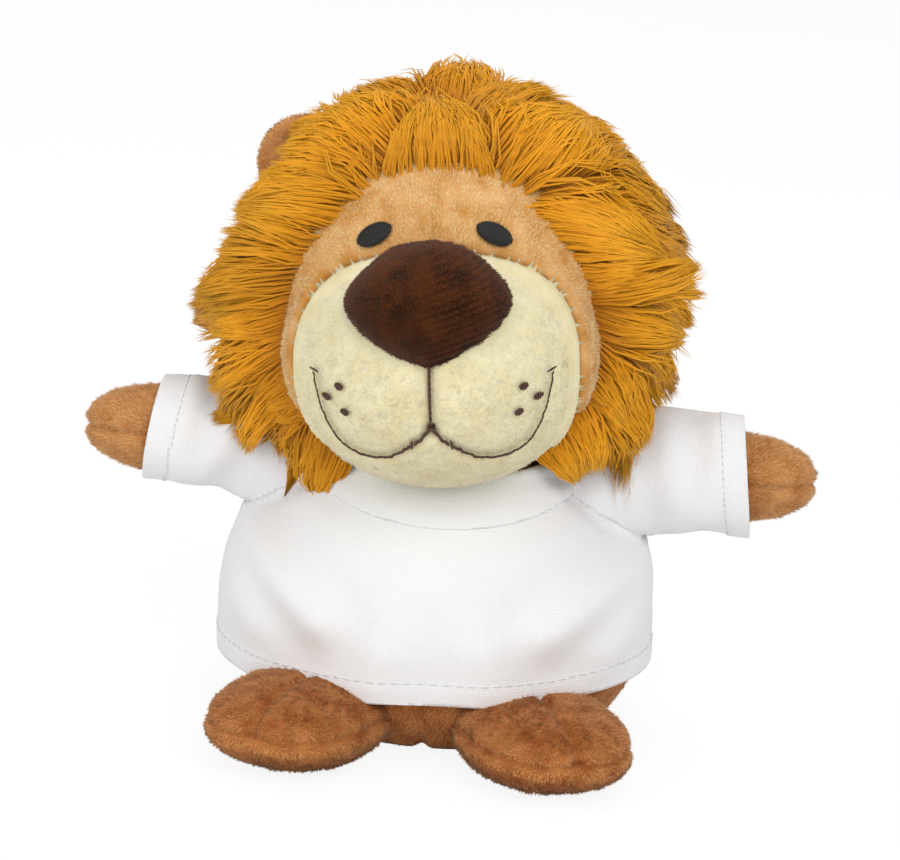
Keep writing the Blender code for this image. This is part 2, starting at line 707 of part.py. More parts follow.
def build_head(neck, ball, face, muzzle, shirt_clear):
    """Face, muzzle, nose, mane and the panel under the head, over one stuffing."""
    up = Vector((0, 0, 1))
    bm = shell(draw_face)
    cut(bm, Vector((0, FACE_EDGE, 0)), Vector((0, 1, 0)))
    combine(add("face_panel", bm, "tan_plush", neck), "DIFFERENCE", [muzzle])
    bm = shell(draw_muzzle)
    cut(bm, Vector((0, MUZZLE_EDGE, 0)), Vector((0, 1, 0)))
    combine(add("muzzle_panel", bm, "cream_plush", neck), "DIFFERENCE", [face, ball])
    bm = shell(draw_head)
    cut(bm, Vector((0, 0, HEAD_PANEL_HEIGHT)), up)
    combine(add("head_base_panel", bm, "tan_plush", neck), "DIFFERENCE", [face, muzzle])
    inset = -SKIN - GAP
    stuffing = add("head_stuffing", solid(draw_head, inset), "stuffing", neck)
    inner = [
        add_cutter("face_inside", solid(draw_face, inset)),
        add_cutter("muzzle_inside", solid(draw_muzzle, inset)),
    ]
    combine(stuffing, "UNION", inner)
    bm = shell(draw_nose)
    cut(bm, Vector((0, NOSE_EDGE, 0)), Vector((0, 1, 0)))
    combine(add("nose_cover", bm, "nose_plush", neck), "DIFFERENCE", [face, muzzle])
    nose_stuffing = add("nose_stuffing", solid(draw_nose, inset), "stuffing", neck)
    combine(nose_stuffing, "DIFFERENCE", [face, muzzle])

    base = bmesh.new()
    draw_head(base, GAP)
    cut(base, Vector((0, 0, HEAD_PANEL_HEIGHT + GAP)), up)
    core = add_cutter("mane_core", solid(draw_head, GAP - SKIN))
    base = add_cutter("mane_base", base)
    ears = []
    for side, label in ((1, "left"), (-1, "right")):
        bm = bmesh.new()
        draw_ear(bm, side, GAP)
        ears.append(add_cutter(f"ear_room_{label}", bm))
        for layer, facing in (("front", 1), ("back", -1)):
            bm = bmesh.new()
            draw_ear(bm, side)
            cut(bm, Vector((0, MANE_SEAM - facing * GAP / 2, 0)), Vector((0, facing, 0)))
            cloth = "brown_plush" if layer == "front" else "tan_plush"
            combine(add(f"ear_{label}_{layer}", bm, cloth, neck), "DIFFERENCE", [core])
    for name, facing in (("mane_ruff", 1), ("mane_back", -1)):
        bm = bmesh.new()
        draw_mane(bm)
        cut(bm, Vector((0, MANE_SEAM - facing * GAP / 2, 0)), Vector((0, facing, 0)))
        mane = add(name, bm, "mane_pile", neck)
        combine(mane, "DIFFERENCE", [core, base, face, muzzle] + ears + shirt_clear)


def build_arm(side, label):
    """Upper and lower plush panels over the arm's stuffing."""
    pivot = shoulder(side)
    seam = add_seam(f"shoulder_{label}", Matrix.Translation(pivot))

    def draw(bm, grow=0.0):
        draw_arm(bm, side, grow)

    for layer, facing in (("upper", -1), ("lower", 1)):
        bm = shell(draw)
        cut(bm, pivot - Vector((0, 0, facing * GAP / 2)), Vector((0, 0, facing)))
        add(f"arm_{label}_{layer}", bm, "brown_plush", seam)
    add(f"arm_{label}_stuffing", solid(draw, -SKIN - GAP), "stuffing", seam)


def build_foot(side, label, belly):
    """Inner and outer uppers and a sole over the foot's stuffing, cut to clear the body."""
    frame = hip(side)
    seam = add_seam(f"hip_{label}", frame)
    pivot, across = frame.translation, frame.to_3x3().col[0]
    room = [
        swung(belly, pivot, across, FOOT_LIFT * step / (LIFT_STEPS - 1)) for step in range(LIFT_STEPS)
    ]
    for copy in room:
        copy.name = f"{copy.name}_{label}"

    def draw(bm, grow=0.0):
        draw_foot(bm, side, grow)

    down = Vector((0, 0, -1))
    for layer, facing in (("inner", side), ("outer", -side)):
        bm = shell(draw)
        cut(bm, Vector((0, 0, SOLE_SEAM_HEIGHT + GAP / 2)), down)
        cut(bm, pivot - across * facing * GAP / 2, across * facing)
        combine(add(f"foot_{label}_{layer}", bm, "brown_plush", seam), "DIFFERENCE", room)
    bm = shell(draw)
    cut(bm, Vector(), down)
    cut(bm, Vector((0, 0, SOLE_SEAM_HEIGHT - GAP / 2)), -down)
    combine(add(f"foot_{label}_sole", bm, "brown_plush", seam), "DIFFERENCE", room)
    stuffing = add(f"foot_{label}_stuffing", solid(draw, -SKIN - GAP), "stuffing", seam)
    combine(stuffing, "DIFFERENCE", room)


def build_tail():
    """The tube and the tuft."""
    seam = add_seam("tail_seam", Matrix.Translation(tail_root()))
    add("tail_tube", solid(draw_tail, 0.0), "brown_plush", seam)
    add("tail_tuft", solid(draw_tuft, 0.0), "mane_pile", seam)


def shirt_shell():
    """The whole shirt as one hidden shell: trunk and sleeves joined, hollowed, open at the hems."""
    def sleeve(side, grow, overrun):
        bm = bmesh.new()
        draw_sleeve(bm, side, grow, overrun)
        return bm

    whole = add_cutter("shirt_whole", solid(draw_trunk, 0.0))
    outer = [add_cutter(f"sleeve_outer_{side}", sleeve(side, 0.0, 0.0)) for side in (1, -1)]
    inner = [
        add_cutter(f"sleeve_inner_{side}", sleeve(side, -JERSEY, OVERRUN)) for side in (1, -1)
    ]
    bm = bmesh.new()
    draw_trunk(bm, -JERSEY, SHIRT_HEM - JERSEY)
    inner.append(add_cutter("trunk_inner", bm))
    combine(whole, "UNION", outer)
    combine(whole, "DIFFERENCE", inner)
    bm = bmesh.new()
    draw_trunk(bm, COLLAR_EASE + GAP)
    point, normal = neckline(-GAP / 2)
    cut(bm, point, -normal)
    combine(whole, "DIFFERENCE", [add_cutter("neck_hole", bm)])
    return whole


def neckline(height):
    """Point and normal of the tilted plane that the collar follows, so far above its seam."""
    front = Vector((0.0, -BODY_DEPTH * BODY_OUTLINE_SHARES[-3][1] / 2, NECKLINE_FRONT))
    normal = Matrix.Rotation(NECKLINE_TILT, 3, "X") @ Vector((0, 0, 1))
    return front + normal * height, normal


def build_shirt(seams):
    """Front, back, raglan sleeves and the collar band."""
    whole = shirt_shell()
    half = GAP / 2
    run = Vector((ARMPIT[0] - RAGLAN_TOP[0], 0.0, ARMPIT[1] - RAGLAN_TOP[1]))
    for side, label in ((1, "left"), (-1, "right")):
        out = Vector((-side * run.z, 0.0, run.x)).normalized()
        point = Vector((side * ARMPIT[0], 0.0, ARMPIT[1]))
        bm = bmesh_of(whole)
        cut(bm, point + out * half, -out)
        add(f"shirt_sleeve_{label}", bm, "jersey", seams[label])
    for name, facing in (("shirt_front", 1), ("shirt_back", -1)):
        bm = bmesh_of(whole)
        for side in (1, -1):
            out = Vector((-side * run.z, 0.0, run.x)).normalized()
            cut(bm, Vector((side * ARMPIT[0], 0.0, ARMPIT[1])) - out * half, out)
        cut(bm, Vector((0, -facing * half, 0)), Vector((0, facing, 0)))
        add(name, bm, "jersey")
    def band(bm, grow):
        draw_trunk(bm, grow + COLLAR_EASE)

    bm = shell(band, JERSEY + COLLAR_EASE)
    point, normal = neckline(half)
    cut(bm, point, -normal)
    point, normal = neckline(COLLAR_HEIGHT)
    cut(bm, point, normal)
    add("shirt_collar", bm, "jersey")


def shirt_room():
    """What the mane keeps clear of: the collar all round and the raised sleeves."""
    bm = bmesh.new()
    outline = shirt_outline(COLLAR_EASE + GAP + GAP, SHIRT_HEM)
    outline[-1] = (SHIRT_TOP - COLLAR_HEIGHT, outline[-1][1])
    draw_turned(bm, outline, BODY_SEGMENTS, Matrix())
    collar = add_cutter("collar_room", bm)
    radius = SLEEVE_ROOT_RADIUS + SLEEVE_CLEARANCE
    bm = bmesh.new()
    place = Matrix.Translation((0, 0, shoulder(1).z)) @ Matrix.Rotation(math.radians(90), 4, "Y")
    draw_turned(bm, [(-REACH / 2, radius), (REACH / 2, radius)], SLEEVE_SEGMENTS, place)
    return [collar, add_cutter("sleeve_room", bm)]


def build():
    """Make every piece of the lion."""
    clear_scene()
    neck = add_seam("neck", Matrix.Translation(head_centre()))
    ball = add_cutter("ball_room", solid(draw_head, GAP))
    face = add_cutter("face_room", solid(draw_face, GAP))
    muzzle = add_cutter("muzzle_room", solid(draw_muzzle, GAP))
    turning = GAP + TURN_CLEARANCE
    neck_clear = [
        add_cutter("neck_room", solid(draw_head, turning)),
        add_cutter("chin_room", solid(draw_turning_muzzle, turning)),
    ]
    build_body(neck_clear)
    build_head(neck, ball, face, muzzle, shirt_room())
    build_embroidery(neck, face, muzzle)
    seams = {}
    for side, label in ((1, "left"), (-1, "right")):
        build_arm(side, label)
        seams[label] = bpy.data.objects[f"shoulder_{label}"]
    belly = add_cutter("belly_room", solid(draw_belly, GAP + GAP))
    for side, label in ((1, "left"), (-1, "right")):
        build_foot(side, label, belly)
    build_tail()
    build_shirt(seams)


build()
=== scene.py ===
"""Plush lion: stuffed plush covers with their pile, a long-pile mane and a white cotton T-shirt."""

import math

import bmesh
import bpy
import numpy as np
from bpy.props import FloatProperty, FloatVectorProperty, PointerProperty
from bpy.types import Operator, Panel, PropertyGroup
from mathutils import Matrix, Vector
from mathutils.bvhtree import BVHTree


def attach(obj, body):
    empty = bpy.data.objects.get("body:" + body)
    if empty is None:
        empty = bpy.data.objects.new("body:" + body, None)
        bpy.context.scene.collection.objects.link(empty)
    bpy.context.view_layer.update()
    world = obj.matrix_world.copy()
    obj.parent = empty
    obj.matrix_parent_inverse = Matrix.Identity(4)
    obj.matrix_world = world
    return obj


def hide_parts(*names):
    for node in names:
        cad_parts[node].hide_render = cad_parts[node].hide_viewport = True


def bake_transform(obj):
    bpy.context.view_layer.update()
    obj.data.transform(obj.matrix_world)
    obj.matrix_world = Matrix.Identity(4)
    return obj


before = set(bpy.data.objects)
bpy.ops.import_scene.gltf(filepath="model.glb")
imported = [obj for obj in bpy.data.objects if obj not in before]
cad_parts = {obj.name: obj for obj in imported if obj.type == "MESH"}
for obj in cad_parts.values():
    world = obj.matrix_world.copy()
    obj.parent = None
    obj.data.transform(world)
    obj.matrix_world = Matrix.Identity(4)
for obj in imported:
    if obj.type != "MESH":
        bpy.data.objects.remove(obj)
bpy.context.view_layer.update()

bl_info = {
    "name": "Plush lion",
    "version": (1, 0, 0),
    "blender": (4, 5, 0),
    "location": "View3D > Sidebar > Plush lion",
    "description": "Makes a plush lion's covers, pile, mane and T-shirt round its packed frame",
    "category": "Object",
}

# Body and shirt, repeated from the part: (height share, girth share) of the body's pear
BODY_WIDTH, BODY_DEPTH, BODY_HEIGHT = 0.091, 0.083, 0.070
BODY_SHARES = (
    (0.0, 0.66), (0.04, 0.79), (0.10, 0.885), (0.20, 0.965), (0.33, 1.0), (0.47, 0.985),
    (0.60, 0.92), (0.72, 0.815), (0.83, 0.675), (0.92, 0.565), (1.0, 0.45),
)
SHIRT_EASE, SHIRT_HEM, SHIRT_NECK = 0.0016, 0.0130, 0.0303
SHIRT_HANG = 0.0625
SHOULDER = Vector((0.042771, 0.0, 0.059075))
SLEEVE_HEM, SLEEVE_RADIUS, SLEEVE_ROOT = 0.0660, 0.0140, 0.0150
RAGLAN_TOP, ARMPIT = Vector((0.0270, 0.0, 0.0570)), Vector((0.0466, 0.0, 0.0425))
NECK_FRONT = Vector((0.0, -0.0280, 0.0550))
NECK_TILT = math.radians(15)
HEM_MIDDLE, HEM_SLOPE, CUFF_SLOPE = Vector((0.0, 0.0, 0.0148)), 0.040, math.radians(7.5)
COLLAR_HEIGHT = 0.0068
NECK_HOLE = 0.0306

# Head
HEAD_PIVOT, HEAD_SHIFT = Vector((0.0, -0.002, 0.075)), -0.0009
HEAD_BALLS = (
    (Vector((0.0, -0.002, 0.095)), Vector((0.039, 0.039, 0.039))),
    (Vector((0.0, -0.012, 0.098)), Vector((0.036, 0.033, 0.034))),
    (Vector((0.0, -0.024, 0.0872)), Vector((0.0335, 0.037, 0.0284))),
)
MUZZLE_MIDDLE, MUZZLE_REACH = Vector((0.0, 0.0, 0.0870)), Vector((0.0300, 0.0, 0.0246))
MUZZLE_DROP = 0.0300
MUZZLE_BACK = -0.016
MANE_MIDDLE = Vector((0.0, 0.0, 0.0940))
EAR_ANGLE, EAR_DISTANCE = math.radians(47), 0.0416
MANE_PARTS = 7


def linear(code):
    """An sRGB hex colour as linear red, green and blue."""
    parts = [int(code[at:at + 2], 16) / 255 for at in (0, 2, 4)]
    return [p / 12.92 if p <= 0.04045 else ((p + 0.055) / 1.055) ** 2.4 for p in parts]


def size(name, description, default):
    """A length that a user may change."""
    return FloatProperty(
        name=name, description=description, default=default, min=0, precision=5, subtype="DISTANCE",
        unit="LENGTH",
    )


def share(name, description, default):
    """A number without a unit."""
    return FloatProperty(name=name, description=description, default=default, min=0)


def colour(name, description, code):
    """A colour that a user may change."""
    return FloatVectorProperty(
        name=name, description=description, default=linear(code), min=0, max=1, subtype="COLOR"
    )


class LionSizes(PropertyGroup):
    """Lengths of pile and thread, and how dense the pile stands."""

    head_lean: FloatProperty(
        name="Head lean", description="How far the head leans to its right",
        default=math.radians(5.0), subtype="ANGLE", unit="ROTATION",
    )
    pile_length: size("Short pile", "Length of the short pile", 0.0013)
    pile_width: size("Pile width", "Width of one tuft of short pile", 0.00023)
    pile_density: share("Pile density", "Tufts of short pile per square millimetre", 6.0)
    mane_length: size("Long pile", "Length of the mane's pile", 0.0185)
    mane_width: size("Lock width", "Width of one strand of the mane", 0.00029)
    mane_density: share("Mane density", "Strands of the mane per square millimetre", 2.9)
    cloth: size("Jersey", "Thickness of the T-shirt's jersey", 0.0009)
    thread: size("Mouth thread", "Radius of the mouth's thread", 0.00030)


class LionColours(PropertyGroup):
    """Colours of the plush, threads and cotton."""

    # Each plush root colour is darker than its tip: painted shade deep in the pile and on the covers between the
    # tufts.
    brown: colour("Brown plush", "Tips of the brown plush", "e0a76c")
    brown_root: colour("Brown roots", "Roots of the brown plush", "a2632f")
    # A darker, redder copy of the brown plush: painted shade on the body and the feet, low down and under the
    # shirt's hem.
    brown_shaded: colour("Brown plush in painted shade", "Tips of the brown plush of the body and feet", "d8965a")
    brown_shaded_root: colour("Its roots", "Roots of the brown plush of the body and feet", "8a481b")
    tan: colour("Tan plush", "Tips of the tan plush", "f5cf95")
    tan_root: colour("Tan roots", "Roots of the tan plush", "bf843e")
    cream: colour("Cream plush", "Tips of the cream plush", "f6efcf")
    cream_root: colour("Cream roots", "Roots of the cream plush", "ddd2a4")
    nose: colour("Nose plush", "Tips of the nose's plush", "643312")
    nose_root: colour("Nose roots", "Roots of the nose's plush", "221002")
    # The mane's roots are darker than its middle and tips: painted shade deep in the pile and on its backing.
    mane: colour("Mane tips", "Tips of the mane", "f0ac2a")
    mane_mid: colour("Mane pile", "Middle of the mane's pile", "dc920a")
    mane_root: colour("Mane roots", "Roots of the mane", "ba7206")
    thread: colour("Eye thread", "Satin stitch of the eyes", "141310")
    mouth: colour("Mouth thread", "Thread of the mouth and whisker dots", "4b3020")
    # The seams' thread is white; this grey is painted shade, as of stitches sunk into the cloth.
    sewing_painted_shade: colour("Sewing thread", "Thread of the T-shirt's seams, in its own shade", "d3d3d6")
    jersey: colour("Jersey", "Cotton of the T-shirt", "e9e9ea")
    floor: colour("Floor", "Floor and backdrop", "f4f4f4")


def values(context):
    """The sizes and the colours of the scene."""
    return context.scene.lion_sizes, context.scene.lion_colours


# Small tools


def node(tree, kind, inputs=(), **settings):
    """Adds a node with its settings, values and links."""
    made = tree.nodes.new(kind)
    for key, value in settings.items():
        setattr(made, key, value)
    for key, value in dict(inputs).items():
        if isinstance(value, bpy.types.NodeSocket):
            tree.links.new(value, made.inputs[key])
        else:
            made.inputs[key].default_value = value
    return made


def material(name, build, *colours):
    """The named finish, built once by its function."""
    made = bpy.data.materials.get(name)
    if made is None:
        made = bpy.data.materials.new(name)
        made.use_nodes = True
        made.node_tree.nodes.clear()
        shader = build(made.node_tree, *[(*tint, 1.0) for tint in colours])
        node(made.node_tree, "ShaderNodeOutputMaterial", {"Surface": shader.outputs[0]})
    return made


def plush_finish(tree, tip, root):
    """Brushed polyester pile: matt, with a soft sheen, darker towards its roots as painted shade deep in the pile,
    and painted patches of light and shade where the pile lies another way.
    """
    place = node(tree, "ShaderNodeTexCoord").outputs["Object"]
    # Painted light and shade: noise patches of lighter and darker pile, standing in for pile that lies another
    # way.
    painted_lay_shade = node(tree, "ShaderNodeTexNoise", {"Vector": place, "Scale": 190.0, "Detail": 3.0})
    grain = node(tree, "ShaderNodeTexNoise", {"Vector": place, "Scale": 1500.0, "Detail": 2.0})
    along = node(tree, "ShaderNodeAttribute", attribute_name="along")
    tone = node(tree, "ShaderNodeAttribute", attribute_name="tone")
    # Painted shade: the pile darkens towards its roots, and a cover without pile takes the root colour, as shade
    # deep in the pile.
    reach = node(
        tree, "ShaderNodeMath", {0: along.outputs["Fac"], 1: 0.60, 2: 0.20}, operation="MULTIPLY_ADD"
    )
    drift = node(
        tree, "ShaderNodeMath", {0: tone.outputs["Fac"], 1: 0.45, 2: reach.outputs[0]},
        operation="MULTIPLY_ADD",
    )
    patch = node(
        tree, "ShaderNodeMapRange",
        {"Value": painted_lay_shade.outputs["Fac"], "From Min": 0.32, "From Max": 0.68, "To Min": -0.22, "To Max": 0.22},
    )
    mixed = node(tree, "ShaderNodeMath", {0: drift.outputs[0], 1: patch.outputs[0]}, use_clamp=True)
    tint = node(
        tree, "ShaderNodeMix", {0: mixed.outputs[0], 6: root, 7: tip}, data_type="RGBA"
    )
    bump = node(
        tree, "ShaderNodeBump", {"Height": grain.outputs["Fac"], "Strength": 0.35, "Distance": 0.0004}
    )
    return node(
        tree, "ShaderNodeBsdfPrincipled",
        {
            "Base Color": tint.outputs[2], "Roughness": 0.88, "Specular IOR Level": 0.12,
            "Sheen Weight": 0.10, "Sheen Roughness": 0.5, "Normal": bump.outputs[0],
        },
    )


def mane_finish(tree, tip, middle, root):
    """Long acrylic pile: dark at the backing as painted shade deep in the pile, golden along its length, pale and
    glossy at the tips.
    """
    along = node(tree, "ShaderNodeAttribute", attribute_name="along")
    tone = node(tree, "ShaderNodeAttribute", attribute_name="tone")
    # Painted shade: darker towards the roots and on the backing, as shade deep in the pile.
    low = node(
        tree, "ShaderNodeMapRange", {"Value": along.outputs["Fac"], "From Min": 0.0, "From Max": 0.45}
    )
    high = node(
        tree, "ShaderNodeMapRange", {"Value": along.outputs["Fac"], "From Min": 0.45, "From Max": 1.0}
    )
    lower = node(tree, "ShaderNodeMix", {0: low.outputs[0], 6: root, 7: middle}, data_type="RGBA")
    upper = node(
        tree, "ShaderNodeMix", {0: high.outputs[0], 6: lower.outputs[2], 7: tip}, data_type="RGBA"
    )
    shade = node(
        tree, "ShaderNodeMapRange", {"Value": tone.outputs["Fac"], "To Min": 0.76, "To Max": 1.12}
    )
    tint = node(
        tree, "ShaderNodeVectorMath", {0: upper.outputs[2], 1: shade.outputs[0]}, operation="MULTIPLY"
    )
    return node(
        tree, "ShaderNodeBsdfPrincipled",
        {
            "Base Color": tint.outputs[0], "Roughness": 0.5, "Specular IOR Level": 0.2,
        },
    )


def thread_finish(tree, dye):
    """Rayon embroidery thread: a low silky gloss over fine twist."""
    place = node(tree, "ShaderNodeTexCoord").outputs["Object"]
    twist = node(
        tree, "ShaderNodeTexWave", {"Vector": place, "Scale": 620.0, "Distortion": 1.5},
        bands_direction="DIAGONAL",
    )
    bump = node(
        tree, "ShaderNodeBump", {"Height": twist.outputs["Fac"], "Strength": 0.4, "Distance": 0.0002}
    )
    return node(
        tree, "ShaderNodeBsdfPrincipled",
        {"Base Color": dye, "Roughness": 0.5, "Specular IOR Level": 0.4, "Normal": bump.outputs[0]},
    )


def jersey_finish(tree, dye):
    """Cotton single jersey: matt, its columns of V stitches 0.88 mm apart and rows 0.7 mm apart, its colour dimmed
    where the knit lies low as painted shade between the loops, with a random fuzz tone.
    """
    flat = node(tree, "ShaderNodeUVMap", uv_map="cloth").outputs[0]
    parts = node(tree, "ShaderNodeSeparateXYZ", {0: flat})
    column = node(
        tree, "ShaderNodeMath", {0: parts.outputs[0], 1: math.tau / 0.00088}, operation="MULTIPLY"
    )
    wale = node(tree, "ShaderNodeMath", {0: column.outputs[0]}, operation="COSINE")
    bend = node(
        tree, "ShaderNodeMath", {0: wale.outputs[0]}, operation="ABSOLUTE"
    )
    row = node(
        tree, "ShaderNodeMath", {0: parts.outputs[1], 1: math.tau / 0.0007, 2: bend.outputs[0]},
        operation="MULTIPLY_ADD",
    )
    loop = node(tree, "ShaderNodeMath", {0: row.outputs[0]}, operation="SINE")
    knit = node(
        tree, "ShaderNodeMath", {0: loop.outputs[0], 1: 0.35, 2: bend.outputs[0]},
        operation="MULTIPLY_ADD",
    )
    place = node(tree, "ShaderNodeTexCoord").outputs["Object"]
    fuzz = node(tree, "ShaderNodeTexNoise", {"Vector": place, "Scale": 900.0, "Detail": 4.0})
    relief = node(
        tree, "ShaderNodeMath", {0: fuzz.outputs["Fac"], 1: 0.8, 2: knit.outputs[0]},
        operation="MULTIPLY_ADD",
    )
    bump = node(
        tree, "ShaderNodeBump", {"Height": relief.outputs[0], "Strength": 0.22, "Distance": 0.0002}
    )
    # Painted shade: the colour dims where the knit's relief lies low, as shade between the loops, mixed with a
    # random fuzz tone.
    tint = node(
        tree, "ShaderNodeMapRange",
        {"Value": relief.outputs[0], "From Min": -0.2, "From Max": 1.8, "To Min": 0.93, "To Max": 1.02},
    )
    cotton = node(
        tree, "ShaderNodeVectorMath", {0: dye[:3], 1: tint.outputs[0]}, operation="MULTIPLY"
    )
    return node(
        tree, "ShaderNodeBsdfPrincipled",
        {
            "Base Color": cotton.outputs[0], "Roughness": 0.9, "Specular IOR Level": 0.2,
            "Sheen Weight": 0.12, "Normal": bump.outputs[0],
        },
    )


def settle(name, bm, *covers):
    """The bmesh as a smooth object at the origin, faces out."""
    bmesh.ops.recalc_face_normals(bm, faces=bm.faces[:])
    mesh = bpy.data.meshes.new(name)
    bm.to_mesh(mesh)
    bm.free()
    mesh.shade_smooth()
    obj = bpy.data.objects.new(name, mesh)
    bpy.context.collection.objects.link(obj)
    for cover in covers:
        mesh.materials.append(cover)
    return obj


def carry(obj, body, slot, *nodes):
    """Says what the piece rides on and hides the nodes it stands for; slot, its finish, is not used."""
    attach(obj, body)
    if nodes:
        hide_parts(*nodes)
    return obj


def applied(obj):
    """The object with its modifiers applied."""
    bpy.context.view_layer.update()
    graph = bpy.context.evaluated_depsgraph_get()
    mesh = bpy.data.meshes.new_from_object(obj.evaluated_get(graph))
    obj.modifiers.clear()
    obj.data = mesh
    return obj


def points_of(mesh):
    """Vertex places as rows."""
    places = np.empty(len(mesh.vertices) * 3, np.float32)
    mesh.vertices.foreach_get("co", places)
    return places.reshape(-1, 3).astype(float)


def normals_of(mesh):
    """Vertex normals as rows."""
    found = np.empty(len(mesh.vertices) * 3, np.float32)
    mesh.vertex_normals.foreach_get("vector", found)
    return found.reshape(-1, 3).astype(float)


def reshape(mesh, places):
    """Writes the vertex places back."""
    mesh.vertices.foreach_set("co", places.astype(np.float32).ravel())
    mesh.update()


def unit(rows):
    """Rows of length 1."""
    return rows / np.maximum(np.linalg.norm(rows, axis=-1, keepdims=True), 1e-12)


def smooth(points, at):
    """Values on a smooth curve through (place, value) points."""
    places = np.array([p for p, _ in points], float)
    heights = np.array([h for _, h in points], float)
    slopes = np.gradient(heights, places)
    at = np.clip(at, places[0], places[-1])
    index = np.clip(np.searchsorted(places, at, side="right") - 1, 0, len(places) - 2)
    run = places[index + 1] - places[index]
    t = (at - places[index]) / run
    return (
        (1 + 2 * t) * (1 - t) ** 2 * heights[index] + t * t * (3 - 2 * t) * heights[index + 1]
        + run * t * (1 - t) ** 2 * slopes[index] - run * t * t * (1 - t) * slopes[index + 1]
    )


def ball(bm, centre, radii, segments, rings):
    """Ellipsoid with its poles on the Y axis; returns its vertices."""
    place = (
        Matrix.Translation(centre) @ Matrix.Diagonal(Vector(radii).to_4d())
        @ Matrix.Rotation(math.radians(90), 4, "X")
    )
    return bmesh.ops.create_uvsphere(
        bm, u_segments=segments, v_segments=rings, radius=1.0, matrix=place
    )["verts"]


def turned(bm, outline, segments, place=Matrix()):
    """Solid spun from a (height, radius) outline that starts and ends on the axis; its vertices."""
    verts = [bm.verts.new((radius, 0.0, height)) for height, radius in outline]
    edges = [bm.edges.new(pair) for pair in zip(verts, verts[1:])]
    bmesh.ops.spin(
        bm, geom=verts + edges, cent=(0, 0, 0), axis=(0, 0, 1), angle=math.tau, steps=segments,
        use_merge=True,
    )
    bmesh.ops.remove_doubles(bm, verts=bm.verts[:], dist=1e-6)
    made = bm.verts[:]
    bmesh.ops.transform(bm, matrix=place, verts=made)
    return made


def groove(places, normals, distance, width, depth):
    """Draws the surface in along a seam."""
    dip = depth * np.exp(-((distance / width) ** 2))
    return places - normals * dip[:, None]


# Pile


def scatter(obj, per_mm2, seed, keep=None):
    """Roots spread evenly over a surface, as places and normals."""
    graph = bpy.context.evaluated_depsgraph_get()
    mesh = obj.evaluated_get(graph).to_mesh()
    mesh.calc_loop_triangles()
    corners = np.empty(len(mesh.loop_triangles) * 3, np.int32)
    mesh.loop_triangles.foreach_get("vertices", corners)
    corners = corners.reshape(-1, 3)
    places, normals = points_of(mesh), normals_of(mesh)
    a, b, c = (places[corners[:, k]] for k in range(3))
    areas = np.linalg.norm(np.cross(b - a, c - a), axis=1) / 2
    rng = np.random.default_rng(seed)
    count = int(areas.sum() * 1e6 * per_mm2)
    pick = np.searchsorted(np.cumsum(areas) / areas.sum(), rng.random(count))
    pick = np.minimum(pick, len(corners) - 1)
    u, v = rng.random(count), rng.random(count)
    flip = u + v > 1
    u[flip], v[flip] = 1 - u[flip], 1 - v[flip]
    weights = np.stack([1 - u - v, u, v], 1)[:, :, None]
    chosen = corners[pick]
    roots = (places[chosen] * weights).sum(1)
    facing = unit((normals[chosen] * weights).sum(1))
    if keep is not None:
        inside = keep(roots, facing)
        roots, facing = roots[inside], facing[inside]
    return roots, facing


def strands(name, lines, facing, widths, tones, cover, profile, nap):
    """Closed three-sided strands, one along each row of places, shaded in part as the cloth below."""
    count, rings = lines.shape[:2]
    bm = bmesh.new()
    middle = Matrix.Translation((0, 0, (rings - 1) / 2))
    bmesh.ops.create_cone(
        bm, cap_ends=True, cap_tris=False, segments=3, radius1=1.0, radius2=1.0, depth=rings - 1,
        matrix=middle,
    )
    for level in range(1, rings - 1):
        geometry = bm.verts[:] + bm.edges[:] + bm.faces[:]
        bmesh.ops.bisect_plane(bm, geom=geometry, plane_co=(0, 0, level), plane_no=(0, 0, 1))
    tips = [vert for vert in bm.verts if vert.co.z > rings - 1.5]
    bmesh.ops.pointmerge(bm, verts=tips, merge_co=(0, 0, rings - 1))
    obj = settle(name, bm, cover)
    cell = points_of(obj.data)
    copies = obj.modifiers.new("strands", "ARRAY")
    copies.count = count
    copies.use_relative_offset = False
    applied(obj)
    level = np.rint(cell[:, 2]).astype(int)
    run = unit(lines[:, -1] - lines[:, 0])
    across = unit(np.cross(facing, run))
    up = np.cross(run, across)
    girth = widths[:, None] * np.array(profile)[level][None, :]
    places = (
        lines[:, level] + across[:, None] * (girth * cell[:, 0])[..., None]
        + up[:, None] * (girth * cell[:, 1] * 0.6)[..., None]
    )
    reshape(obj.data, places.reshape(-1, 3))
    for label, data in (
        ("along", np.broadcast_to(level / (rings - 1), (count, len(cell)))),
        ("tone", np.broadcast_to(tones[:, None], (count, len(cell)))),
    ):
        kept = obj.data.attributes.new(label, "FLOAT", "POINT")
        kept.data.foreach_set("value", data.astype(np.float32).ravel())
    own = normals_of(obj.data)
    under = np.repeat(facing, len(cell), axis=0)
    obj.data.normals_split_custom_set_from_vertices(unit(own * (1 - nap) + under * nap))
    return obj


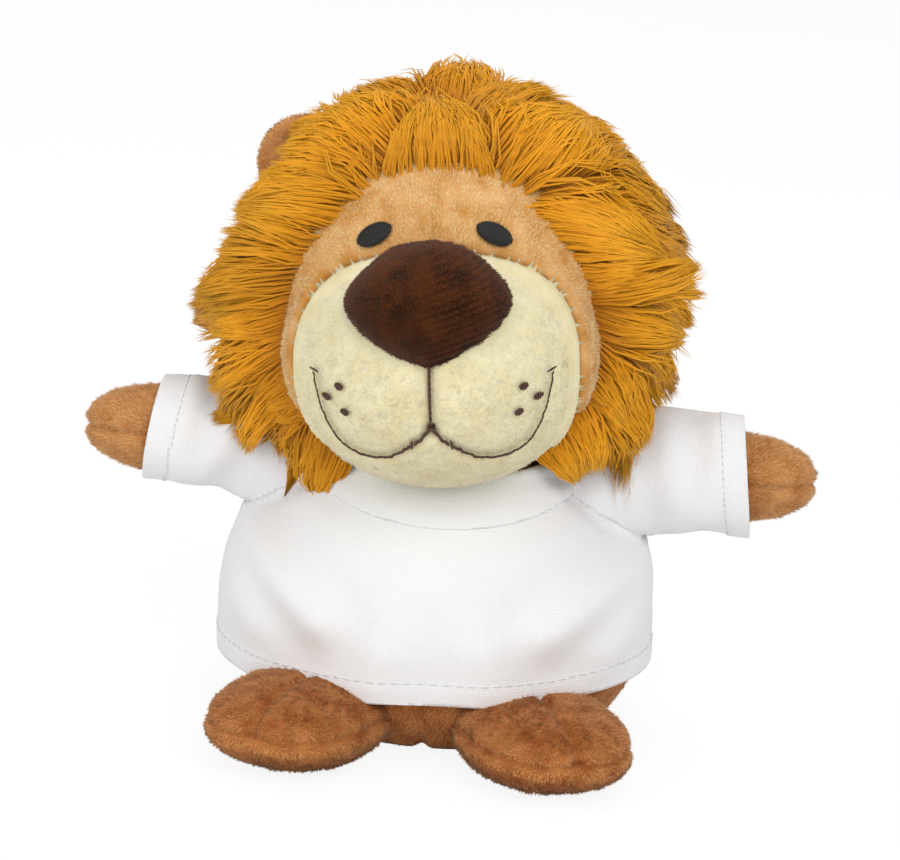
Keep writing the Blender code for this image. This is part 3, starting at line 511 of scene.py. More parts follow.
def short_pile(obj, cover, comb, seed, keep=None, length=1.0, density=1.0, lift=0.42,
               tint=None):
    """Short pile over a cover, combed by a function of place and normal, in small tufted patches."""
    sizes = bpy.context.scene.lion_sizes
    roots, facing = scatter(obj, sizes.pile_density * density, seed, keep)
    rng = np.random.default_rng(seed + 1)
    combed = comb(roots, facing)
    combed = combed - facing * (combed * facing).sum(1, keepdims=True)
    patches = rng.normal(0, 0.24, (4096, 4))
    cell = np.floor((roots + rng.normal(0, 0.00025, roots.shape)) / 0.0013).astype(int)
    patch = patches[(cell @ np.array((73856093, 19349663, 83492791))) % 4096]
    way = unit(facing * lift + unit(combed) + patch[:, :3] + rng.normal(0, 0.16, roots.shape))
    tones = 0.48 + 0.35 * patch[:, 3] + rng.normal(0, 0.13, len(roots))
    if tint is not None:
        tones = tones + tint(roots)
    tones = np.clip(tones, 0, 1)
    reach = sizes.pile_length * length * rng.uniform(0.7, 1.2, len(roots))
    lines = np.stack([roots - facing * 0.0003, roots + way * reach[:, None]], 1)
    widths = sizes.pile_width * rng.uniform(0.7, 1.2, len(roots))
    return strands(
        f"{obj.name}_pile", lines, facing, widths, tones, cover, (1, 0), 0.75
    )


# Head


def lean(places):
    """The head's places leaned to its side."""
    angle = bpy.context.scene.lion_sizes.head_lean
    turn = np.array(Matrix.Rotation(-angle, 3, "Y"))
    pivot = np.array(HEAD_PIVOT)
    return (places - pivot) @ turn.T + pivot + np.array((HEAD_SHIFT, 0, 0))


def lean_back(obj):
    """Leans a finished head piece, so that all of them are made upright."""
    reshape(obj.data, lean(points_of(obj.data)))
    return obj


def muzzle_edge(places):
    """Signed distance in the front view from the edge of the cream muzzle, inside below zero."""
    x = (places[:, 0] - MUZZLE_MIDDLE.x) / MUZZLE_REACH.x
    z = places[:, 2] - MUZZLE_MIDDLE.z
    z = z / np.where(z > 0, MUZZLE_REACH.z, MUZZLE_DROP)
    off = ((np.abs(x) ** 2.35 + np.abs(z) ** 2.35) ** (1 / 2.35) - 1) * MUZZLE_REACH.z
    return np.where(places[:, 1] < MUZZLE_BACK, off, 0.01)


SMILE = (
    (0.0000, 0.0780), (0.0046, 0.0737), (0.0096, 0.0710), (0.0135, 0.0708), (0.0178, 0.0726),
    (0.0210, 0.0770), (0.0229, 0.0825), (0.0239, 0.0880),
)


def smile_line(side, steps=40):
    """Places across and up along one half of the smile."""
    marks = [0.0]
    for before, after in zip(SMILE, SMILE[1:]):
        marks.append(marks[-1] + math.dist(before, after))
    at = np.linspace(0, marks[-1], steps)
    across = smooth([(m, p[0]) for m, p in zip(marks, SMILE)], at)
    up = smooth([(m, p[1]) for m, p in zip(marks, SMILE)], at)
    return np.stack([side * across, up], 1)


def near_line(places, line):
    """Distance in the front view from a line of places."""
    flat = places[:, [0, 2]]
    return np.min(np.linalg.norm(flat[:, None] - line[None], axis=2), axis=1)


def head_form():
    """The whole stuffed head as one soft form, seams and mouth drawn in."""
    bm = bmesh.new()
    for centre, radii in HEAD_BALLS:
        ball(bm, centre, radii, 64, 32)
    obj = settle("head_form", bm)
    merge = obj.modifiers.new("merge", "REMESH")
    merge.mode = "VOXEL"
    merge.voxel_size = 0.0009
    relax = obj.modifiers.new("relax", "SMOOTH")
    relax.factor, relax.iterations = 0.5, 10
    applied(obj)
    places = points_of(obj.data)
    off = muzzle_edge(places)
    near = (np.abs(off) < 0.0008) & (places[:, 1] < MUZZLE_BACK)
    middle = np.array(MUZZLE_MIDDLE)
    radial = places[near] - middle
    factor = 1 / (1 + off[near] / MUZZLE_REACH.z)
    places[near, 0] = middle[0] + radial[:, 0] * factor
    places[near, 2] = middle[2] + radial[:, 2] * factor
    reshape(obj.data, places)
    normals = normals_of(obj.data)
    places = groove(places, normals, muzzle_edge(places), 0.0011, 0.0007)
    front = places[:, 1] < -0.03
    lip = np.abs(places[:, 0]) + np.maximum(places[:, 2] - 0.093, 0) + np.maximum(0.078 - places[:, 2], 0)
    depth = np.where(front, 0.0014, 0)
    places = groove(places, normals, lip, 0.0022, depth)
    for side in (1, -1):
        line = smile_line(side)
        fade = np.where(front, 0.0009, 0)
        places = groove(places, normals, near_line(places, line), 0.0012, fade)
    reshape(obj.data, places)
    return obj


def half_of(obj, name, chosen, cover):
    """Copy of the faces whose middles are chosen."""
    bm = bmesh.new()
    bm.from_mesh(obj.data)
    middles = np.array([face.calc_center_median() for face in bm.faces])
    drop = [face for face, keep in zip(bm.faces[:], chosen(middles)) if not keep]
    bmesh.ops.delete(bm, geom=drop, context="FACES")
    return settle(name, bm, cover)


def away_from(x, z, sink=0.0):
    """Comb outward in the front view from a place."""
    def comb(places, _):
        way = places - np.array((x, 0, z))
        way[:, 1] = 0.6 * np.linalg.norm(way, axis=1)
        way[:, 2] -= sink
        return way
    return comb


class LION_OT_head(Operator):
    """Makes the tan face and the cream muzzle, with their pile"""

    bl_idname = "lion.head"
    bl_label = "Head"

    def execute(self, context):
        sizes, colours = values(context)
        tan = material("tan_plush_pile", plush_finish, colours.tan, colours.tan_root)
        cream = material("cream_plush_pile", plush_finish, colours.cream, colours.cream_root)
        form = head_form()
        covers = (
            ("face_cover", lambda at: muzzle_edge(at) >= 0, tan, "tan_plush",
             ("face_panel", "head_base_panel", "head_stuffing"), away_from(0, 0.086), 401),
            ("muzzle_cover", lambda at: muzzle_edge(at) < 0, cream, "cream_plush",
             ("muzzle_panel",), away_from(0, 0.092, 0.006), 402),
        )
        for name, chosen, cover, slot, nodes, comb, seed in covers:
            piece = half_of(form, name, chosen, cover)

            def keep(places, facing):
                outer = (facing * unit(places - np.array((0, -0.012, 0.092)))).sum(1) > 0.5
                shown = (places[:, 1] < -0.012) & outer
                off = muzzle_edge(places)
                return shown & ((off > 0.0008) | (off < -0.0024))

            pile = short_pile(piece, cover, comb, seed, keep, length=0.62, density=1.15)
            wall = piece.modifiers.new("wall", "SOLIDIFY")
            wall.thickness, wall.offset = 0.0012, -1
            for made in (piece, pile):
                lean_back(made)
                carry(made, "head", slot)
            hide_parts(*nodes)
        bpy.data.objects.remove(form)
        return {"FINISHED"}


class LION_OT_nose(Operator):
    """Makes the nose, a plump rounded triangle of dark plush"""

    bl_idname = "lion.nose"
    bl_label = "Nose"

    def execute(self, context):
        _, colours = values(context)
        dark = material("dark_plush_pile", plush_finish, colours.nose, colours.nose_root)
        bm = bmesh.new()
        centre, radii = Vector((-0.0007, -0.0495, 0.1017)), Vector((0.0170, 0.0155, 0.0126))
        ball(bm, centre, radii, 128, 110)
        nose = settle("nose", bm, dark)
        places = points_of(nose.data)
        rise = (places[:, 2] - centre.z) / radii.z
        rim = np.sqrt(np.maximum(1 - rise ** 2, 1e-4))
        wanted = smooth(
            ((-1, 0.02), (-0.93, 0.23), (-0.76, 0.44), (-0.56, 0.66), (-0.36, 0.83), (-0.16, 0.94),
             (0.04, 0.99), (0.24, 0.95), (0.44, 0.84), (0.64, 0.68), (0.80, 0.53), (0.92, 0.36),
             (1, 0.02)), rise
        )
        places[:, 0] *= np.clip(wanted / rim, 0, 1.3)
        places[:, 1] -= 0.0022 * np.clip(-rise, 0, 1)
        reshape(nose.data, places)

        def ribs(at):
            rows = np.sin((at[:, 2] - 0.30 * at[:, 0]) * math.tau / 0.0014)
            return rows * np.clip(at[:, 0] / 0.006 + 0.6, 0, 1)

        places += normals_of(nose.data) * (0.00022 * ribs(places))[:, None]
        reshape(nose.data, places)

        def comb(at, _):
            way = at - np.array(centre)
            right = np.clip(at[:, 0] / 0.010 + 0.5, 0, 1)
            way[:, 0] = way[:, 0] * (1 - right) + 0.02 * right
            way[:, 1] = -0.001
            way[:, 2] = way[:, 2] * (1 - right) + 0.0060 * right
            return way

        # Painted light and shade: the nose's plush is lighter towards its top, where light falls, darker below,
        # with painted highlights on the ribs and shade between them.
        def tint(at):
            return 0.70 * (at[:, 2] - centre.z) / radii.z - 0.36 + 0.45 * ribs(at)

        def keep(at, facing):
            return facing[:, 1] < 0.4

        pile = short_pile(
            nose, dark, comb, 411, keep, length=0.55, density=1.45, lift=0.55, tint=tint
        )
        for made in (nose, pile):
            lean_back(made)
            carry(made, "head", "nose_plush")
        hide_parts("nose_cover", "nose_stuffing")
        return {"FINISHED"}


def lie_on(tree, across, up, off):
    """Place and normal on the head's front at a place across and up."""
    place, normal, _, _ = tree.ray_cast(Vector((across, -0.2, up)), Vector((0, 1, 0)))
    if place is None:
        raise RuntimeError(f"nothing to sew on at {across}, {up}")
    if normal.y > 0:
        normal.negate()
    return place + normal * off, normal


def head_tree():
    """The covers of the face and the muzzle as they lie before the head leans."""
    bm = bmesh.new()
    for name in ("face_cover", "muzzle_cover"):
        bm.from_mesh(bpy.data.objects[name].data)
    angle = bpy.context.scene.lion_sizes.head_lean
    shift = Vector((HEAD_SHIFT, 0, 0))
    turn = Matrix.Rotation(angle, 4, "Y")
    back = Matrix.Translation(HEAD_PIVOT) @ turn @ Matrix.Translation(-HEAD_PIVOT - shift)
    bmesh.ops.transform(bm, matrix=back, verts=bm.verts[:])
    tree = BVHTree.FromBMesh(bm)
    bm.free()
    return tree


def stitch(bm, place, along, normal, length, radius):
    """One stitch, a plump grain of thread."""
    side = normal.cross(along).normalized()
    lie = Matrix((along.normalized(), side, along.cross(side).normalized())).transposed().to_4x4()
    turn = Matrix.Translation(place) @ lie @ Matrix.Diagonal((length / 2, radius, radius, 1))
    bmesh.ops.create_uvsphere(
        bm, u_segments=8, v_segments=5, radius=1.0,
        matrix=turn @ Matrix.Rotation(math.radians(90), 4, "Y"),
    )


def satin(bm, tree, centre, radii, tilt, lines, radius, height):
    """An oval filled with satin stitch: threads side by side, laid over the cloth."""
    for index in range(lines):
        at = (index + 0.5) / lines * 2 - 1
        half = radii[1] * math.sqrt(max(1 - at * at, 0.02))
        x, z = at * radii[0], 0.0
        across = centre[0] + x * math.cos(tilt) - z * math.sin(tilt)
        up = centre[1] + x * math.sin(tilt) + z * math.cos(tilt)
        place, normal = lie_on(tree, across, up, height)
        along = Vector((-math.sin(tilt), 0, math.cos(tilt)))
        along -= normal * along.dot(normal)
        stitch(bm, place, along, normal, 2 * half, radius)


class LION_OT_embroidery(Operator):
    """Sews the eyes, the mouth and the whisker dots"""

    bl_idname = "lion.embroidery"
    bl_label = "Embroidery"

    def execute(self, context):
        sizes, colours = values(context)
        black = material("black_satin_stitch", thread_finish, colours.thread)
        brown = material("brown_mouth_thread", thread_finish, colours.mouth)
        tree = head_tree()
        made = []
        for side, label in ((1, "left"), (-1, "right")):
            bm = bmesh.new()
            satin(bm, tree, (side * 0.0121, 0.1140), (0.0038, 0.0026), side * math.radians(-26), 22,
                  0.00034, 0.0007)
            eye = settle(f"eye_{label}_satin", bm, black)
            made.append((eye, "thread", (f"eye_{label}",)))
            bm = bmesh.new()
            line = smile_line(side, 34)
            for start, end in zip(line, line[1:]):
                share = abs(end[0]) / abs(line[-1][0])
                radius = sizes.thread * (1.6 - 0.95 * math.sqrt(share))
                place, normal = lie_on(tree, *((start + end) / 2), 0.0009)
                other, _ = lie_on(tree, *end, 0.0009)
                stitch(bm, place, other - place, normal, (other - place).length * 2.9, radius)
            tick, normal = lie_on(tree, side * 0.0235, 0.0886, 0.0009)
            stitch(bm, tick, Vector((-side, 0, -0.6)), normal, 0.0024, sizes.thread * 0.8)
            mouth = settle(f"smile_{label}_stitches", bm, brown)
            made.append((mouth, "mouth_thread", (f"smile_{label}",)))
            for number, (across, up) in enumerate(
                ((0.0182, 0.0862), (0.0209, 0.0837), (0.0172, 0.0810)), 1
            ):
                bm = bmesh.new()
                satin(bm, tree, (side * across, up), (0.00085, 0.00095), side * 0.3, 5, 0.00026, 0.0008)
                dot = settle(f"whisker_dot_{label}_{number}_satin", bm, brown)
                made.append((dot, "mouth_thread", (f"whisker_dot_{label}_{number}",)))
        bm = bmesh.new()
        for index in range(14):
            place, normal = lie_on(tree, 0, 0.0950 - index * 0.0012, 0.0008)
            other, _ = lie_on(tree, 0, 0.0950 - index * 0.0012 - 0.0006, 0.0008)
            stitch(bm, place, other - place, normal, 0.0020, sizes.thread * 1.2)
        lip = settle("lip_seam_stitches", bm, brown)
        made.append((lip, "mouth_thread", ("lip_seam",)))
        for piece, slot, nodes in made:
            lean_back(piece)
            carry(piece, "head", slot, *nodes)
        return {"FINISHED"}


def mane_outline():
    """(depth, radius) of the cloth that carries the mane's pile."""
    return (
        (-0.0275, 0.0), (-0.0275, 0.0300), (-0.0270, 0.0352), (-0.0235, 0.0394), (-0.0140, 0.0426),
        (-0.0020, 0.0434), (0.0110, 0.0428), (0.0230, 0.0400), (0.0330, 0.0335), (0.0395, 0.0230),
        (0.0428, 0.0110), (0.0432, 0.0),
    )


def clear_of_shirt(places, gap):
    """Places pushed out of the shirt's trunk and sleeves."""
    places = places.copy()
    radius = shirt_radius(places[:, 2]) + gap
    flat = np.hypot(places[:, 0], places[:, 1] * BODY_WIDTH / BODY_DEPTH)
    low = (places[:, 2] < 0.0655) & (flat < radius)
    factor = radius[low] / np.maximum(flat[low], 1e-6)
    places[low, 0] *= factor
    places[low, 1] *= factor
    height = places[:, 2] - (SHOULDER.z - 0.38 * np.maximum(SHOULDER.x - np.abs(places[:, 0]), 0))
    off = np.hypot(places[:, 1], height)
    room = SLEEVE_ROOT + gap
    near = (np.abs(places[:, 0]) > 0.026) & (np.abs(places[:, 0]) < SLEEVE_HEM) & (off < room)
    factor = room / np.maximum(off[near], 1e-6)
    places[near, 2] += height[near] * (factor - 1)
    places[near, 1] *= factor
    return places


# Heights at which the mane's ends rest on the shirt, and are free of it
LOCKS_REST, LOCKS_FREE = 0.056, 0.076


class LION_OT_mane(Operator):
    """Makes the mane: its backing and the combed, clumped strands of long pile"""

    bl_idname = "lion.mane"
    bl_label = "Mane"

    def execute(self, context):
        sizes, colours = values(context)
        gold = material(
            "golden_long_pile", mane_finish, colours.mane, colours.mane_mid, colours.mane_root
        )
        bm = bmesh.new()
        place = Matrix.Translation(MANE_MIDDLE) @ Matrix.Rotation(math.radians(-90), 4, "X")
        turned(bm, mane_outline(), 96, place)
        # The backing takes the mane's root colour: painted shade under the strands.
        backing = settle("mane_backing", bm, gold)
        finer = backing.modifiers.new("finer", "SUBSURF")
        finer.levels = finer.render_levels = 1
        applied(backing)
        places = points_of(backing.data)
        floor = 0.0665
        low = places[:, 2] < floor
        places[low, 2] = floor - (floor - places[low, 2]) * 0.12
        reshape(backing.data, places)

        def keep(at, facing):
            out = np.hypot(at[:, 0], at[:, 2] - MANE_MIDDLE.z)
            front = (at[:, 1] < -0.025) & (out < 0.0312)
            under = (at[:, 2] < floor + 0.0004) & (out < 0.038)
            return ~front & ~under

        roots, facing = scatter(backing, sizes.mane_density, 501, keep)
        lines, tones = comb_mane(roots, facing, sizes.mane_length)
        rng = np.random.default_rng(503)
        widths = sizes.mane_width * rng.uniform(0.65, 1.15, len(roots))
        angle = np.arctan2(roots[:, 0], roots[:, 2] - MANE_MIDDLE.z)
        order = np.argsort(np.argsort(angle))
        sector = order * MANE_PARTS // len(roots)
        pieces = [backing]
        for index in range(MANE_PARTS):
            mine = sector == index
            pieces.append(strands(
                f"mane_locks_{index + 1}", lines[mine], facing[mine], widths[mine], tones[mine], gold,
                (0.8, 1.0, 0.75, 0), 0.6,
            ))
        for piece in pieces:
            lean_back(piece)
            if piece is backing or points_of(piece.data)[:, 2].min() > LOCKS_FREE:
                carry(piece, "head", "mane_pile")
            else:
                # The lowest ends lie on the shirt and stay there as the head turns
                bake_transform(piece)
        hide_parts("mane_ruff", "mane_back")
        return {"FINISHED"}


# How far the mane reaches from its middle, by the angle from its top in degrees
MANE_REACH = (
    (0, 0.0444), (20, 0.0449), (38, 0.0464), (61, 0.0480), (75, 0.0498), (92, 0.0532), (112, 0.0540),
    (140, 0.0462), (180, 0.0440),
)


def clumps(roots, number, seed):
    """Strands chosen to lead locks, and the lead of each strand."""
    leads = np.random.default_rng(seed).choice(len(roots), number, replace=False)
    nearest = np.empty(len(roots), int)
    for first in range(0, len(roots), 4000):
        part = roots[first:first + 4000]
        gap = (part ** 2).sum(1)[:, None] - 2 * part @ roots[leads].T + (roots[leads] ** 2).sum(1)[None]
        nearest[first:first + 4000] = gap.argmin(1)
    return leads, nearest


def comb_mane(roots, facing, length):
    """Centre lines and tones of the mane's strands: swept out and down, and drawn into locks."""
    rng = np.random.default_rng(502)
    middle = np.array(MANE_MIDDLE)
    count = len(roots)
    radial = unit((roots - middle) * np.array((1, 0, 1)))
    angle = np.arctan2(radial[:, 0], radial[:, 2])
    out = np.hypot(roots[:, 0], roots[:, 2] - middle[2])
    front = np.clip((-0.018 - roots[:, 1]) / 0.006, 0, 1)
    crown = np.clip(radial[:, 2], 0, 1) ** 1.5
    rear = np.clip((roots[:, 1] - 0.018) / 0.018, 0, 1)[:, None]

    # The hairline above the forehead lies on the face
    fringe = front * np.clip((0.0365 - out) / 0.0050, 0, 1) * np.clip(radial[:, 2] * 1.6 - 0.1, 0, 1)
    roots = roots - radial * (0.0048 * fringe)[:, None] - np.array((0, 0.0046, 0)) * fringe[:, None]

    side = np.tanh((roots[:, 0] + 0.001) / 0.008)[:, None]
    along = side * np.stack([radial[:, 2], 0 * angle, -radial[:, 0]], 1)
    left = (angle < 0) * np.exp(-((np.degrees(angle) + 42) / 26) ** 2)
    share = smooth(
        ((0, 0.0), (15, 0.30), (40, 0.50), (75, 0.34), (100, 0.36), (125, 0.5), (150, 0.5), (180, 0.2)),
        np.abs(np.degrees(angle)),
    ) + 0.35 * left * front
    ahead = front[:, None]
    flow = radial * (0.45 + 0.55 * ahead) * (1 - 0.55 * rear) + along * share[:, None]
    flow = flow + np.array((0, 1, 0)) * (0.50 * (1 - ahead) * (1 - rear) + 0.06 * ahead)
    flow = unit(flow + np.array((0, 0, -0.8)) * rear + np.array((0, 0, -0.12)))
    tangent = flow - facing * (flow * facing).sum(1, keepdims=True) * 0.6

    away = np.array((math.sin(EAR_ANGLE), 0, math.cos(EAR_ANGLE)))
    right_ear = middle + away * EAR_DISTANCE
    over = np.exp(-(((roots - right_ear) * np.array((1, 0.5, 1))) ** 2).sum(1) / 0.013 ** 2)
    ear = middle + away * np.array((-1, 1, 1)) * EAR_DISTANCE
    near = np.exp(-(((roots - ear) * np.array((1, 0.6, 1))) ** 2).sum(1) / 0.0115 ** 2)

    big, big_of = clumps(roots, 190, 504)
    turn = rng.normal(0, 0.26, (len(big), 3))
    stretch = rng.uniform(0.82, 1.20, len(big))
    rise = 0.42 + 0.16 * rng.standard_normal(len(big))
    lifted = facing * (rise[big_of] + 0.35 * over + 0.12 * (1 - front) * crown)[:, None]
    start = unit(tangent + lifted + turn[big_of] * 0.5 + rng.normal(0, 0.09, roots.shape))
    end = flow + np.array((0, 0.30, 0)) * ahead + turn[big_of] + rng.normal(0, 0.07, roots.shape)
    end = unit(end - facing * 0.08)
    reach = length * stretch[big_of] * rng.uniform(0.75, 1.12, count)
    reach *= (1 - 0.12 * crown) * (1 - 0.72 * near) * (1 - 0.08 * np.clip(-radial[:, 2], 0, 1))
    t = np.array((0, 0.35, 0.7, 1.0))
    bend = roots + start * reach[:, None] * 0.45
    tip = bend + end * reach[:, None] * 0.62
    weight_a, weight_b, weight_c = (1 - t) ** 2, 2 * t * (1 - t), t * t
    lines = (
        roots[:, None] * weight_a[None, :, None] + bend[:, None] * weight_b[None, :, None]
        + tip[:, None] * weight_c[None, :, None]
    )
    locks = (
        (big, big_of, 0.74, 1.6), (*clumps(roots, 1100, 505), 0.45, 1.3),
        (*clumps(roots, 5200, 506), 0.45, 1.0),
    )
    for leads, nearest, pull, power in locks:
        draw = (pull * t ** power)[None, :, None]
        lines = lines * (1 - draw) + lines[leads][nearest] * draw
    lines = lines + rng.normal(0, 0.0004, (count, 1, 3)) * np.sin(t * 5.2)[None, :, None]

    # Trimmed to the mane's outline
    flat = lines.reshape(-1, 3)
    off = flat - middle
    turned_by = np.degrees(np.abs(np.arctan2(off[:, 0], off[:, 2])))
    limit = smooth(MANE_REACH, turned_by) * np.repeat(1 + (0.46 - 0.6 * np.clip(-radial[:, 2] - 0.4, 0, 0.6)) * (stretch[big_of] - 1), len(t))
    limit = limit * (1 - 0.16 * np.clip((flat[:, 1] - 0.010) / 0.030, 0, 1))
    limit = limit + 0.0020 + np.repeat(rng.normal(0, 0.0009, count), len(t))
    span = np.hypot(off[:, 0], off[:, 2])
    soft = 0.0045
    past = np.maximum(span - limit + soft, 0)
    kept = np.where(past > 0, limit - soft * np.exp(-past / soft), span)
    off[:, [0, 2]] *= (kept / np.maximum(span, 1e-6))[:, None]
    flat = clear_of_shirt(off + middle, 0.0009)
    lines = flat.reshape(count, len(t), 3)
    tones = rng.normal(0.55, 0.13, len(big))[big_of] + rng.normal(0, 0.15, count)
    return lines, np.clip(tones, 0, 1)


class LION_OT_ears(Operator):
    """Makes the two ears, set in the seam of the mane"""

    bl_idname = "lion.ears"
    bl_label = "Ears"

    def execute(self, context):
        _, colours = values(context)
        brown = material("brown_plush_pile", plush_finish, colours.brown, colours.brown_root)
        for side, label in ((1, "left"), (-1, "right")):
            bm = bmesh.new()
            verts = ball(bm, Vector(), (0.0107, 0.0034, 0.0107), 40, 20)
            away = Vector((side * math.sin(EAR_ANGLE), 0.0, math.cos(EAR_ANGLE)))
            centre = MANE_MIDDLE + away * (EAR_DISTANCE if side < 0 else 0.0325)
            centre.y = 0.0035
            for vert in verts:
                hollow = max(1 - (vert.co.x ** 2 + vert.co.z ** 2) / 0.0107 ** 2, 0)
                vert.co.y += 0.0022 * hollow
            place = Matrix.Translation(centre) @ Matrix.Rotation(side * EAR_ANGLE, 4, "Y")
            bmesh.ops.transform(bm, matrix=place, verts=verts)
            ear = settle(f"ear_{label}", bm, brown)
            away = np.array(away)
            pile = short_pile(
                ear, brown, lambda at, _, away=away: at * 0 + away, 520 + side, length=0.8, density=1.1
            )
            for made in (ear, pile):
                lean_back(made)
                carry(made, "head", "brown_plush")
            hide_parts(f"ear_{label}_front", f"ear_{label}_back")
        return {"FINISHED"}


# Body, arms, feet and tail


def body_radius(height):
    """Half the body's width at a height."""
    outline = [(s * BODY_HEIGHT, g * BODY_WIDTH / 2) for s, g in BODY_SHARES]
    return smooth(outline, np.asarray(height, float))


class LION_OT_body(Operator):
    """Makes the body under the shirt, with its front seam"""

    bl_idname = "lion.body"
    bl_label = "Body"

    def execute(self, context):
        _, colours = values(context)
        # Painted shade: the darker copy of the brown plush, for the body low down under the shirt.
        brown = material(
            "brown_plush_laid_up", plush_finish, colours.brown_shaded, colours.brown_shaded_root
        )
        heights = np.concatenate([[0.0], np.linspace(0.0008, 0.0200, 26), np.linspace(0.022, BODY_HEIGHT, 26)])
        outline = [(0.0, 0.0)] + [(h, float(body_radius(h))) for h in heights] + [(BODY_HEIGHT, 0.0)]
        bm = bmesh.new()
        turned(bm, outline, 240, Matrix.Diagonal((1, BODY_DEPTH / BODY_WIDTH, 1, 1)))
        body = settle("body_cover", bm, brown)
        places, normals = points_of(body.data), normals_of(body.data)
        front = np.where(places[:, 1] < 0, 0.0011, 0.0)
        places = groove(places, normals, places[:, 0], 0.0014, front)
        sides = np.where(places[:, 2] > 0.004, 0.0008, 0.0)
        places = groove(places, normals, places[:, 1], 0.0012, sides)
        places = groove(places, normals, places[:, 2] - 0.0045, 0.0010, 0.0005)
        places[:, 2] = np.maximum(places[:, 2], 0)
        reshape(body.data, places)

        def keep(at, facing):
            return (at[:, 2] < SHIRT_HEM + 0.006) & (at[:, 2] > 0.0012)

        def comb(at, _):
            way = at * np.array((0.4, 0.4, 0))
            way[:, 2] = -0.03
            return way

        pile = short_pile(body, brown, comb, 601, keep, length=0.7)
        nodes = (
            "body_front_left", "body_front_right", "body_back", "seat_panel", "body_stuffing",
            "pellet_bag",
        )
        carry(body, "torso", "brown_plush", *nodes)
        carry(pile, "torso", "brown_plush")
        return {"FINISHED"}


ARM_REACH, ARM_RADIUS = 0.0810, 0.0098


class LION_OT_arms(Operator):
    """Makes the arms, each with the seam along its middle"""

    bl_idname = "lion.arms"
    bl_label = "Arms"

    def execute(self, context):
        _, colours = values(context)
        brown = material("brown_plush_pile", plush_finish, colours.brown, colours.brown_root)
        length = ARM_REACH - SHOULDER.x
        taper = [
            (-0.0060, 0.0), (-0.0044, 0.0042), (0.0, 0.0062), (0.14 * length, 0.68 * ARM_RADIUS),
            (0.34 * length, 0.92 * ARM_RADIUS), (0.56 * length, 0.99 * ARM_RADIUS),
            (0.74 * length, 0.89 * ARM_RADIUS), (0.87 * length, 0.69 * ARM_RADIUS),
            (0.955 * length, 0.42 * ARM_RADIUS), (0.985 * length, 0.0),
        ]
        for side, label in ((1, "left"), (-1, "right")):
            pivot = Vector((side * SHOULDER.x, 0, SHOULDER.z))
            turn = Matrix.Translation(pivot) @ Matrix.Rotation(side * math.radians(90), 4, "Y")
            bm = bmesh.new()
            turned(bm, taper, 32, turn)
            arm = settle(f"arm_{label}", bm, brown)
            finer = arm.modifiers.new("finer", "SUBSURF")
            finer.levels = finer.render_levels = 2
            applied(arm)
            places, normals = points_of(arm.data), normals_of(arm.data)
            places = groove(places, normals, places[:, 2] - pivot.z, 0.0009, 0.0009)
            reshape(arm.data, places)

            def keep(at, facing, side=side):
                return side * at[:, 0] > SLEEVE_HEM - 0.006

            def comb(at, _, side=side, pivot=pivot):
                way = at * 0
                way[:, 0] = side * 0.02
                way[:, 2] = (at[:, 2] - pivot.z) * 1.2
                return way

            pile = short_pile(arm, brown, comb, 610 + side, keep, length=0.95, density=1.15)
            carry(arm, f"arm_{label}", "brown_plush", f"arm_{label}_upper", f"arm_{label}_lower",
                  f"arm_{label}_stuffing")
            carry(pile, f"arm_{label}", "brown_plush")
        return {"FINISHED"}


FOOT_RADII = Vector((0.0172, 0.0224, 0.0090))
FOOT_CENTRE = Vector((0.275 * BODY_WIDTH, -0.462 * BODY_DEPTH, 0.0086))
TOE_OUT = math.radians(24)
SOLE_SEAM = 0.0098


